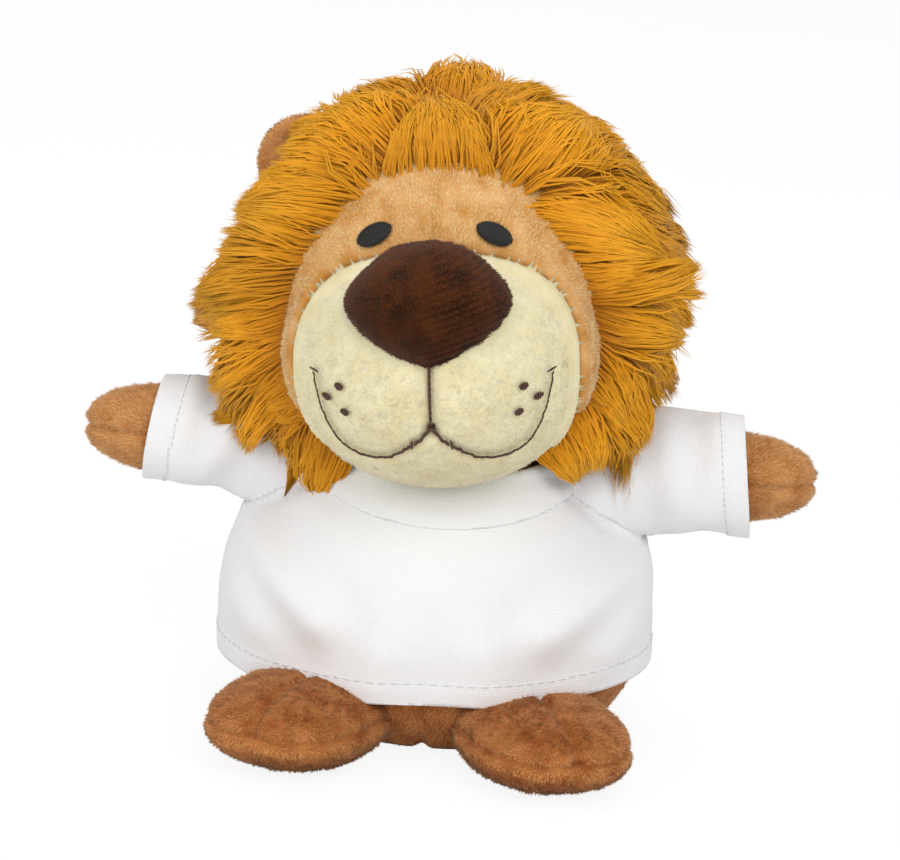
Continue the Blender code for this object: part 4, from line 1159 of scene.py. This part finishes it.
class LION_OT_feet(Operator):
    """Makes the feet, each with a seam over the top and one round the sole"""

    bl_idname = "lion.feet"
    bl_label = "Feet"

    def execute(self, context):
        _, colours = values(context)
        # Painted shade: the darker copy of the brown plush, for the feet low down.
        brown = material(
            "brown_plush_laid_up", plush_finish, colours.brown_shaded, colours.brown_shaded_root
        )
        for side, label in ((1, "left"), (-1, "right")):
            bm = bmesh.new()
            verts = ball(bm, Vector(), FOOT_RADII, 112, 80)
            for vert in verts:
                along, over = vert.co.y / FOOT_RADII.y, vert.co.x / FOOT_RADII.x
                wide = math.hypot(along, over)
                full = (wide ** 2.35 + abs(vert.co.z / FOOT_RADII.z) ** 2.35) ** (-1 / 2.35)
                blunt = (1 + 0.10 * (2 * abs(along * over))) * full
                vert.co.x *= blunt * (1 - 0.12 * max(along, 0))
                vert.co.y *= blunt
                vert.co.z *= full * (1 + 0.06 * along)
            foot = settle(f"foot_{label}", bm, brown)
            places, normals = points_of(foot.data), normals_of(foot.data)
            seam = SOLE_SEAM - FOOT_CENTRE.z
            top = np.where(places[:, 2] > seam, 0.0012, 0.0)
            places = groove(places, normals, places[:, 0], 0.0011, top)
            places = groove(places, normals, places[:, 2] - seam, 0.0010, 0.0009)
            reshape(foot.data, places)
            frame_of = (
                Matrix.Translation((side * FOOT_CENTRE.x, FOOT_CENTRE.y, FOOT_CENTRE.z))
                @ Matrix.Rotation(side * TOE_OUT, 4, "Z")
            )

            def comb(at, _):
                way = at * np.array((1.0, 0.35, 0.4))
                way[:, 1] -= 0.010
                way[:, 2] -= 0.006
                return way

            def keep(at, facing):
                parted = (np.abs(at[:, 0]) > 0.0005) | (at[:, 2] < seam)
                return (at[:, 2] > -0.0074) & parted & (np.abs(at[:, 2] - seam) > 0.0004)

            def tint(at):
                return np.where(at[:, 2] < seam, 0.30, -0.05)

            pile = short_pile(
                foot, brown, comb, 620 + side, keep, length=0.8, density=1.15, tint=tint
            )
            for made in (foot, pile):
                made.data.transform(frame_of)
                made.data.update()
                places = points_of(made.data)
                places[:, 2] = np.maximum(places[:, 2], 0)
                reshape(made.data, places)
                carry(made, f"foot_{label}", "brown_plush")
            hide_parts(f"foot_{label}_inner", f"foot_{label}_outer", f"foot_{label}_sole",
                        f"foot_{label}_stuffing")
        return {"FINISHED"}


TAIL_ROOT = Vector((0.0, 0.041001, 0.006116))
TAIL_RADIUS, TAIL_LENGTH, TUFT_LENGTH, TAIL_RISE = 0.0038, 0.024, 0.021, 0.004


class LION_OT_tail(Operator):
    """Makes the tail and its tuft"""

    bl_idname = "lion.tail"
    bl_label = "Tail"

    def execute(self, context):
        sizes, colours = values(context)
        brown = material("brown_plush_pile", plush_finish, colours.brown, colours.brown_root)
        gold = material(
            "golden_long_pile", mane_finish, colours.mane, colours.mane_mid, colours.mane_root
        )
        lift = math.atan2(TAIL_RISE, TAIL_LENGTH)
        place = Matrix.Translation(TAIL_ROOT) @ Matrix.Rotation(lift - math.radians(90), 4, "X")
        end = TAIL_LENGTH + 0.004
        outline = (
            (-TAIL_RADIUS, 0.0), (-0.0026, 0.0026), (0.0, TAIL_RADIUS), (0.010, TAIL_RADIUS),
            (TAIL_LENGTH, TAIL_RADIUS), (end, 0.0),
        )
        bm = bmesh.new()
        turned(bm, outline, 24, place)
        tube = settle("tail", bm, brown)
        finer = tube.modifiers.new("finer", "SUBSURF")
        finer.levels = finer.render_levels = 2
        applied(tube)
        away = np.array(place.to_3x3() @ Vector((0, 0, 1)))
        pile = short_pile(tube, brown, lambda at, _: at * 0 + away, 631, length=0.7)
        outline = (
            (TAIL_LENGTH - 0.001, 0.0), (TAIL_LENGTH, 0.0030), (TAIL_LENGTH + 0.004, 0.0044),
            (TAIL_LENGTH + 0.009, 0.0036), (TAIL_LENGTH + 0.013, 0.0),
        )
        bm = bmesh.new()
        turned(bm, outline, 24, place)
        core = settle("tail_tuft_backing", bm, gold)
        roots, facing = scatter(core, 4.0, 632)
        rng = np.random.default_rng(633)
        reach = rng.uniform(0.55, 1.0, len(roots)) * 0.0125
        start = unit(facing * 0.7 + away)
        bend = roots + start * reach[:, None] * 0.5
        tip = bend + unit(away + np.array((0, 0, -0.25)) + rng.normal(0, 0.12, roots.shape)) * reach[:, None] * 0.6
        t = np.array((0, 0.25, 0.5, 0.75, 1.0))[None, :, None]
        lines = roots[:, None] * (1 - t) ** 2 + bend[:, None] * 2 * t * (1 - t) + tip[:, None] * t * t
        lines[:, :, 2] = np.maximum(lines[:, :, 2], 0.0004)
        widths = sizes.mane_width * rng.uniform(0.6, 1.0, len(roots))
        tuft = strands(
            "tail_tuft_locks", lines, facing, widths, rng.random(len(roots)), gold,
            (0.7, 1.0, 0.9, 0.6, 0), 0.45,
        )
        carry(tube, "tail", "brown_plush", "tail_tube")
        carry(pile, "tail", "brown_plush")
        carry(core, "tail", "mane_pile", "tail_tuft")
        carry(tuft, "tail", "mane_pile")
        return {"FINISHED"}


# T-shirt


def hang(height):
    """How freely the shirt hangs: 0 at the neck, 1 at the hem."""
    drop = np.clip((SHIRT_HANG - np.asarray(height, float)) / (SHIRT_HANG - SHIRT_HEM), 0, 1)
    return drop ** 2


def shirt_radius(height):
    """Half the width of the shirt's trunk at a height."""
    ease = SHIRT_EASE + 0.0008 * hang(height)
    radius = np.maximum(body_radius(np.maximum(height, 0.33 * BODY_HEIGHT)) + ease, SHIRT_NECK)
    return np.where(np.asarray(height) > SHIRT_HANG, SHIRT_NECK, radius)


def round_out(verts):
    """As deep as the body at the hem, and round at the neck."""
    for vert in verts:
        loose = float(hang(vert.co.z))
        vert.co.y *= loose * BODY_DEPTH / BODY_WIDTH + (1 - loose)


def shirt_form():
    """The shirt's outer skin, trunk and sleeves in one, open at the neck and the hems."""
    bm = bmesh.new()
    heights = np.linspace(SHIRT_HEM - 0.006, 0.080, 48)
    outline = [(float(heights[0]), 0.0)] + [(float(h), float(shirt_radius(h))) for h in heights]
    turned(bm, outline + [(float(heights[-1]), 0.0)], 160)
    round_out(bm.verts)
    trunk = settle("shirt_form", bm)
    for side in (1, -1):
        sleeve = bmesh.new()
        radius_at_cuff = 0.0129 if side > 0 else 0.0110
        inner, outer = 0.020 - SHOULDER.x, SLEEVE_HEM + 0.006 - SHOULDER.x
        steps = np.linspace(inner, outer, 14)
        tube = [(inner, 0.0)]
        for at in steps:
            along = (at - inner) / (outer - inner)
            tube.append((float(at), float(SLEEVE_ROOT + (radius_at_cuff - SLEEVE_ROOT) * along)))
        tube.append((outer, 0.0))
        place = Matrix.Translation((side * SHOULDER.x, 0, SHOULDER.z)) @ Matrix.Rotation(
            side * math.radians(90), 4, "Y"
        )
        turned(sleeve, tube, 64, place)
        for vert in sleeve.verts:
            vert.co.z -= 0.38 * max(SHOULDER.x - side * vert.co.x, 0)
        other = settle(f"shirt_sleeve_form_{side}", sleeve)
        joined = bmesh.new()
        joined.from_mesh(trunk.data)
        joined.from_mesh(other.data)
        joined.to_mesh(trunk.data)
        joined.free()
        bpy.data.objects.remove(other)
    merge = trunk.modifiers.new("merge", "REMESH")
    merge.mode = "VOXEL"
    merge.voxel_size = 0.0011
    relax = trunk.modifiers.new("relax", "SMOOTH")
    relax.factor, relax.iterations = 0.5, 14
    bm = bmesh.new()
    turned(bm, ((0.03, 0.0), (0.03, NECK_HOLE), (0.10, NECK_HOLE), (0.10, 0.0)), 160)
    made = bmesh.ops.bisect_plane(
        bm, geom=bm.verts[:] + bm.edges[:] + bm.faces[:], plane_co=NECK_FRONT,
        plane_no=neck_normal(), clear_inner=True,
    )["geom_cut"]
    rim = [part for part in made if isinstance(part, bmesh.types.BMEdge)]
    bmesh.ops.contextual_create(bm, geom=rim)
    hole = settle("neck_hole", bm)
    opened = trunk.modifiers.new("opened", "BOOLEAN")
    opened.operation, opened.object = "DIFFERENCE", hole
    applied(trunk)
    bpy.data.objects.remove(hole)
    bm = bmesh.new()
    bm.from_mesh(trunk.data)
    middles = np.array([face.calc_center_median() for face in bm.faces])
    above = (middles - np.array(NECK_FRONT)) @ np.array(neck_normal())
    inside = np.hypot(middles[:, 0], middles[:, 1]) < NECK_HOLE + 1e-5
    pit = [face for face, gone in zip(bm.faces[:], inside & (above > -1e-5)) if gone]
    bmesh.ops.delete(bm, geom=pit, context="FACES")
    planes = [(HEM_MIDDLE, (HEM_SLOPE, 0, -1))]
    planes += [cuff_plane(side) for side in (1, -1)]
    for point, normal in planes:
        geometry = bm.verts[:] + bm.edges[:] + bm.faces[:]
        bmesh.ops.bisect_plane(
            bm, geom=geometry, dist=1e-5, plane_co=point, plane_no=normal, clear_outer=True
        )
    bmesh.ops.recalc_face_normals(bm, faces=bm.faces[:])
    bm.to_mesh(trunk.data)
    bm.free()
    return trunk


def cuff_plane(side):
    """Point and outward normal of a sleeve's hem, further out below."""
    return (
        Vector((side * (SLEEVE_HEM - 0.0008), 0, SHOULDER.z)),
        Vector((side * math.cos(CUFF_SLOPE), 0, math.sin(CUFF_SLOPE))),
    )


def below(places, point, normal):
    """How far the places lie inside a plane with an outward normal."""
    normal = np.array(Vector(normal).normalized())
    return -(places - np.array(point)) @ normal


def neck_normal():
    """Direction that the neckline's plane faces."""
    return Matrix.Rotation(NECK_TILT, 3, "X") @ Vector((0, 0, 1))


# Folds as (start across, start up, end across, end up, side of the body, width, height)
FOLDS = (
    (-0.044, 0.044, -0.024, 0.030, -1, 0.0045, 0.0013),
    (-0.047, 0.037, -0.038, 0.026, -1, 0.0038, 0.0008),
    (0.045, 0.043, 0.026, 0.031, -1, 0.0045, 0.0013),
    (0.047, 0.036, 0.039, 0.025, -1, 0.0038, 0.0008),
    (-0.010, 0.024, -0.014, 0.013, -1, 0.0060, 0.0007),
    (0.014, 0.026, 0.017, 0.013, -1, 0.0060, 0.0008),
    (-0.034, 0.022, -0.037, 0.013, -1, 0.0040, 0.0003),
    (-0.044, 0.044, -0.020, 0.032, 1, 0.0050, 0.0012),
    (0.044, 0.044, 0.020, 0.032, 1, 0.0050, 0.0012),
    (0.000, 0.030, 0.004, 0.013, 1, 0.0070, 0.0009),
    (-0.024, 0.026, -0.028, 0.013, 1, 0.0060, 0.0009),
    (0.024, 0.028, 0.027, 0.013, 1, 0.0060, 0.0009),
    (-0.046, 0.066, -0.053, 0.050, -1, 0.0032, 0.0008),
    (-0.056, 0.070, -0.058, 0.050, -1, 0.0030, 0.0006),
    (0.047, 0.068, 0.052, 0.048, -1, 0.0034, 0.0008),
    (0.058, 0.071, 0.057, 0.052, -1, 0.0030, 0.0006),
)


def drape(mesh):
    """Folds, rolled hems and sewn-in seams of the shirt."""
    places, normals = points_of(mesh), normals_of(mesh)
    lift = np.zeros(len(places))
    for x0, z0, x1, z1, facing, width, height in FOLDS:
        start, end = np.array((x0, z0)), np.array((x1, z1))
        flat = places[:, [0, 2]]
        t = np.clip(((flat - start) @ (end - start)) / ((end - start) ** 2).sum(), 0, 1)
        off = np.linalg.norm(flat - start - t[:, None] * (end - start), axis=1)
        crest = np.exp(-((off / width) ** 2)) - 0.35 * np.exp(-(((off - 2 * width) / width) ** 2))
        lift += np.where(places[:, 1] * facing > 0, 1.5 * height * crest, 0)
    slack = np.clip((-places[:, 0] - 0.026) / 0.020, 0, 1) * (places[:, 0] > -0.055)
    lift += 0.0016 * slack * np.exp(-(((places[:, 2] - 0.026) / 0.012) ** 2))
    hem = np.clip((0.0046 - below(places, HEM_MIDDLE, (HEM_SLOPE, 0, -1))) / 0.0006, 0, 1)
    cuff = np.maximum(*(
        np.clip((0.0050 - below(places, *cuff_plane(side))) / 0.0006, 0, 1) * (side * places[:, 0] > 0.04)
        for side in (1, -1)
    ))
    lift += 0.00028 * np.maximum(hem, cuff)
    for side in (1, -1):
        run = ARMPIT - RAGLAN_TOP
        out = np.array((-run.z, 0.0, run.x)) / run.length
        seam = (places * np.array((side, 1, 1)) - np.array(ARMPIT)) @ out
        lift -= 0.00085 * np.exp(-((seam / 0.0012) ** 2))
    return places + normals * lift[:, None]


def lay_flat(obj, sleeve):
    """UV map in metres along the cloth, for the knit."""
    mesh = obj.data
    places = points_of(mesh)
    if sleeve:
        height = places[:, 2] - SHOULDER.z
        around = np.arctan2(places[:, 1], height) * SLEEVE_RADIUS
        flat = np.stack([around, places[:, 0]], 1)
    else:
        around = np.arctan2(places[:, 0], -places[:, 1] * np.sign(-places[:, 1].mean()))
        flat = np.stack([around * BODY_WIDTH / 2, places[:, 2]], 1)
    corners = np.empty(len(mesh.loops), np.int32)
    mesh.loops.foreach_get("vertex_index", corners)
    layer = mesh.uv_layers.new(name="cloth")
    layer.data.foreach_set("uv", flat[corners].astype(np.float32).ravel())


def panel(form, name, planes, cover):
    """A part of the shirt cut along planes, later given the cloth's thickness."""
    bm = bmesh.new()
    bm.from_mesh(form.data)
    for point, normal in planes:
        geometry = bm.verts[:] + bm.edges[:] + bm.faces[:]
        bmesh.ops.bisect_plane(
            bm, geom=geometry, dist=1e-5, plane_co=point, plane_no=normal, clear_outer=True
        )
    mesh = bpy.data.meshes.new(name)
    bm.to_mesh(mesh)
    bm.free()
    mesh.shade_smooth()
    mesh.materials.append(cover)
    obj = bpy.data.objects.new(name, mesh)
    bpy.context.collection.objects.link(obj)
    return obj


def raglan_plane(side, outward):
    """Point and normal of the seam between the trunk and a sleeve."""
    run = ARMPIT - RAGLAN_TOP
    normal = Vector((-side * run.z, 0, run.x)).normalized() * outward
    return Vector((side * ARMPIT.x, 0, ARMPIT.z)), normal


def row_of_stitches(bm, tree, starts, step, length, radius):
    """Straight stitches along a closed or open line of places near the cloth."""
    starts = [Vector(start) for start in starts]
    left = 0.0
    for before, after in zip(starts, starts[1:]):
        span = (after - before).length
        while left < span:
            at = before.lerp(after, left / span)
            place, normal, _, _ = tree.find_nearest(at)
            along = (after - before).normalized()
            along -= normal * along.dot(normal)
            stitch(bm, place + normal * radius * 0.3, along, normal, length, radius)
            left += step
        left -= span


class LION_OT_shirt(Operator):
    """Makes the T-shirt: front, back, raglan sleeves, collar and stitches"""

    bl_idname = "lion.shirt"
    bl_label = "T-shirt"

    def execute(self, context):
        sizes, colours = values(context)
        cotton = material("white_cotton_jersey", jersey_finish, colours.jersey)
        form = shirt_form()
        reshape(form.data, drape(form.data))
        trunk = [raglan_plane(side, 1) for side in (1, -1)]
        pieces = {
            "shirt_front_cloth": (trunk + [((0, 0, 0), (0, 1, 0))], (0.142, 0.050), 0.0062),
            "shirt_back_cloth": (trunk + [((0, 0, 0), (0, -1, 0))], (0.142, 0.058), 0.0063),
            "shirt_sleeve_left_cloth": ([raglan_plane(1, -1)], (0.087, 0.058), 0.0029),
            "shirt_sleeve_right_cloth": ([raglan_plane(-1, -1)], (0.087, 0.058), 0.0029),
        }
        tree = BVHTree.FromPolygons(
            [v.co for v in form.data.vertices], [tuple(p.vertices) for p in form.data.polygons]
        )
        for name, (planes, flat, area) in pieces.items():
            obj = panel(form, name, planes, cotton)
            lay_flat(obj, "sleeve" in name)
            wall = obj.modifiers.new("wall", "SOLIDIFY")
            wall.thickness, wall.offset = sizes.cloth, -1
            node_name = name.removesuffix("_cloth")
            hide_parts(node_name)
            if "sleeve" in name:
                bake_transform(obj)
            else:
                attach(obj, "torso")
        self.add_collar(cotton, neck_normal(), sizes)
        # The sewing thread's grey is painted shade on white thread.
        self.add_stitches(tree, material("white_sewing_thread", thread_finish, colours.sewing_painted_shade))
        bpy.data.objects.remove(form)
        return {"FINISHED"}

    def add_collar(self, cotton, neck, sizes):
        """The ribbed band round the neck, a strip folded double along its top."""
        bm = bmesh.new()
        heights = np.linspace(0.046, 0.074, 28)
        outline = [(float(h), float(shirt_radius(h)) + 0.0005) for h in heights]
        verts = [bm.verts.new((radius, 0.0, height)) for height, radius in outline]
        edges = [bm.edges.new(pair) for pair in zip(verts, verts[1:])]
        bmesh.ops.spin(
            bm, geom=verts + edges, cent=(0, 0, 0), axis=(0, 0, 1), angle=math.tau, steps=220,
            use_merge=True,
        )
        round_out(bm.verts)
        for point, normal in (
            (NECK_FRONT - neck * 0.0004, -neck), (NECK_FRONT + neck * COLLAR_HEIGHT, neck),
        ):
            geometry = bm.verts[:] + bm.edges[:] + bm.faces[:]
            bmesh.ops.bisect_plane(
                bm, geom=geometry, dist=1e-6, plane_co=point, plane_no=normal, clear_outer=True
            )
        middle = (NECK_FRONT + neck * COLLAR_HEIGHT / 2 - NECK_FRONT).dot(neck)
        for vert in bm.verts:
            up = (vert.co - NECK_FRONT).dot(neck)
            away = Vector((vert.co.x, vert.co.y, 0)).normalized()
            rib = 0.00014 * math.cos(math.atan2(vert.co.x, -vert.co.y) * 110)
            vert.co += away * (0.0009 * math.sqrt(max(1 - (up / middle - 1) ** 2, 0)) + rib)
        rim = [
            edge for edge in bm.edges
            if edge.is_boundary and (edge.verts[0].co - NECK_FRONT).dot(neck) > middle
        ]
        for inward, down in ((0.0008, 0.0), (0.0002, COLLAR_HEIGHT)):
            made = bmesh.ops.extrude_edge_only(bm, edges=rim)["geom"]
            rim = [part for part in made if isinstance(part, bmesh.types.BMEdge)]
            rim = [edge for edge in rim if edge.is_boundary]
            for vert in {vert for edge in rim for vert in edge.verts}:
                vert.co -= Vector((vert.co.x, vert.co.y, 0)).normalized() * inward + neck * down
        collar = settle("shirt_collar_band", bm, cotton)
        lay_flat(collar, False)
        wall = collar.modifiers.new("wall", "SOLIDIFY")
        wall.thickness, wall.offset = sizes.cloth * 0.45, -1
        carry(collar, "torso", "jersey", "shirt_collar")

    def add_stitches(self, tree, thread):
        """The sewn rows above the hems."""
        turns = np.linspace(0, math.tau, 241)
        bm = bmesh.new()
        radius = float(shirt_radius(SHIRT_HEM + 0.0046)) + 0.002
        flat = BODY_DEPTH / BODY_WIDTH
        row = [
            (radius * math.cos(a), radius * flat * math.sin(a),
             HEM_MIDDLE.z + 0.0048 + HEM_SLOPE * radius * math.cos(a)) for a in turns
        ]
        row_of_stitches(bm, tree, row, 0.0027, 0.0019, 0.00017)
        carry(settle("hem_stitches", bm, thread), "torso", "jersey")
        for side, label in ((1, "left"), (-1, "right")):
            bm = bmesh.new()
            row = [
                (side * (SLEEVE_HEM - 0.0060 - SLEEVE_RADIUS * math.sin(a) * math.tan(CUFF_SLOPE)),
                 SLEEVE_RADIUS * math.cos(a), SHOULDER.z + SLEEVE_RADIUS * math.sin(a))
                for a in turns[::4]
            ]
            row_of_stitches(bm, tree, row, 0.0016, 0.0011, 0.00016)
            piece = settle(f"sleeve_{label}_stitches", bm, thread)
            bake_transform(piece)


class LION_OT_stage(Operator):
    """Makes the floor, the lights and the camera"""

    bl_idname = "lion.stage"
    bl_label = "Stage"

    def execute(self, context):
        _, colours = values(context)
        scene = context.scene
        bm = bmesh.new()
        bmesh.ops.create_grid(bm, x_segments=2, y_segments=2, size=6.0)
        floor = settle("floor", bm, material("pale_floor", floor_finish, colours.floor))
        for name, place, aim, power, width in (
            ("key", (0.50, -1.00, 0.95), (0, 0, 0.08), 8.1, 0.8),
            ("fill", (-0.85, -0.90, 0.60), (0, 0, 0.07), 5.1, 0.9),
            ("top", (0.05, 0.35, 1.25), (0, 0, 0.08), 3.6, 0.8),
        ):
            lamp = bpy.data.lights.new(name, "AREA")
            lamp.energy, lamp.size = power, width
            obj = bpy.data.objects.new(name, lamp)
            obj.location = place
            obj.rotation_euler = (Vector(aim) - Vector(place)).to_track_quat("-Z", "Y").to_euler()
            scene.collection.objects.link(obj)
        world = bpy.data.worlds.new("studio")
        world.use_nodes = True
        tree = world.node_tree
        tree.nodes.clear()
        seen = node(tree, "ShaderNodeLightPath").outputs["Is Camera Ray"]
        strength = node(tree, "ShaderNodeMapRange", {"Value": seen, "To Min": 0.55, "To Max": 1.0})
        white = node(
            tree, "ShaderNodeBackground", {"Color": (1, 1, 1, 1), "Strength": strength.outputs[0]}
        )
        node(tree, "ShaderNodeOutputWorld", {"Surface": white.outputs[0]})
        scene.world = world
        scene.view_settings.view_transform = "Standard"
        self.add_camera(scene)
        return {"FINISHED"}

    def add_camera(self, scene):
        """The camera at the photograph's angle."""
        azimuth, elevation, roll = (math.radians(angle) for angle in (2.83, 13.62, 4.13))
        back = Vector((
            math.sin(azimuth) * math.cos(elevation), -math.cos(azimuth) * math.cos(elevation),
            math.sin(elevation),
        ))
        right = Vector((math.cos(azimuth), math.sin(azimuth), 0))
        up = back.cross(right)
        aim = Vector((0, -0.010, 0.070)) + right * 0.0003 - up * 0.0035
        camera = bpy.data.objects.new("camera", bpy.data.cameras.new("camera"))
        camera.data.lens, camera.data.sensor_width = 130.0, 36.0
        tilt_right = right * math.cos(roll) + up * math.sin(roll)
        tilt_up = up * math.cos(roll) - right * math.sin(roll)
        turn = Matrix((tilt_right, tilt_up, back)).transposed().to_4x4()
        camera.matrix_world = Matrix.Translation(aim + back * 0.7) @ turn
        camera.data.clip_start, camera.data.clip_end = 0.05, 20
        scene.collection.objects.link(camera)
        scene.camera = camera


def floor_finish(tree, paint):
    """Matt white studio floor, which the camera sees almost as white as the backdrop."""
    seen = node(tree, "ShaderNodeLightPath").outputs["Is Camera Ray"]
    share_seen = node(tree, "ShaderNodeMath", {0: seen, 1: 0.86}, operation="MULTIPLY")
    matt = node(tree, "ShaderNodeBsdfDiffuse", {"Color": paint})
    glow = node(tree, "ShaderNodeEmission", {"Color": (1, 1, 1, 1), "Strength": 1.04})
    return node(
        tree, "ShaderNodeMixShader", {0: share_seen.outputs[0], 1: matt.outputs[0], 2: glow.outputs[0]}
    )


class LION_PT_panel(Panel):
    """Lists the lion's steps, sizes and colours"""

    bl_idname = "LION_PT_panel"
    bl_label = "Plush lion"
    bl_space_type = "VIEW_3D"
    bl_region_type = "UI"
    bl_category = "Plush lion"

    def draw(self, context):
        for operator in OPERATORS:
            self.layout.operator(operator.bl_idname)
        for group in values(context):
            box = self.layout.box()
            for name in group.__annotations__:
                box.prop(group, name)


OPERATORS = (
    LION_OT_body, LION_OT_feet, LION_OT_tail, LION_OT_arms, LION_OT_shirt, LION_OT_head, LION_OT_nose,
    LION_OT_embroidery, LION_OT_ears, LION_OT_mane, LION_OT_stage,
)


def register():
    """Adds the classes and the scene's values."""
    for cls in (LionSizes, LionColours, *OPERATORS, LION_PT_panel):
        bpy.utils.register_class(cls)
    bpy.types.Scene.lion_sizes = PointerProperty(type=LionSizes)
    bpy.types.Scene.lion_colours = PointerProperty(type=LionColours)


def unregister():
    """Removes them again."""
    del bpy.types.Scene.lion_sizes
    del bpy.types.Scene.lion_colours
    for cls in reversed((LionSizes, LionColours, *OPERATORS, LION_PT_panel)):
        bpy.utils.unregister_class(cls)


def main():
    """Makes the whole lion."""
    register()
    for operator in OPERATORS:
        group, name = operator.bl_idname.split(".")
        getattr(getattr(bpy.ops, group), name)()


if __name__ == "__main__":
    main()
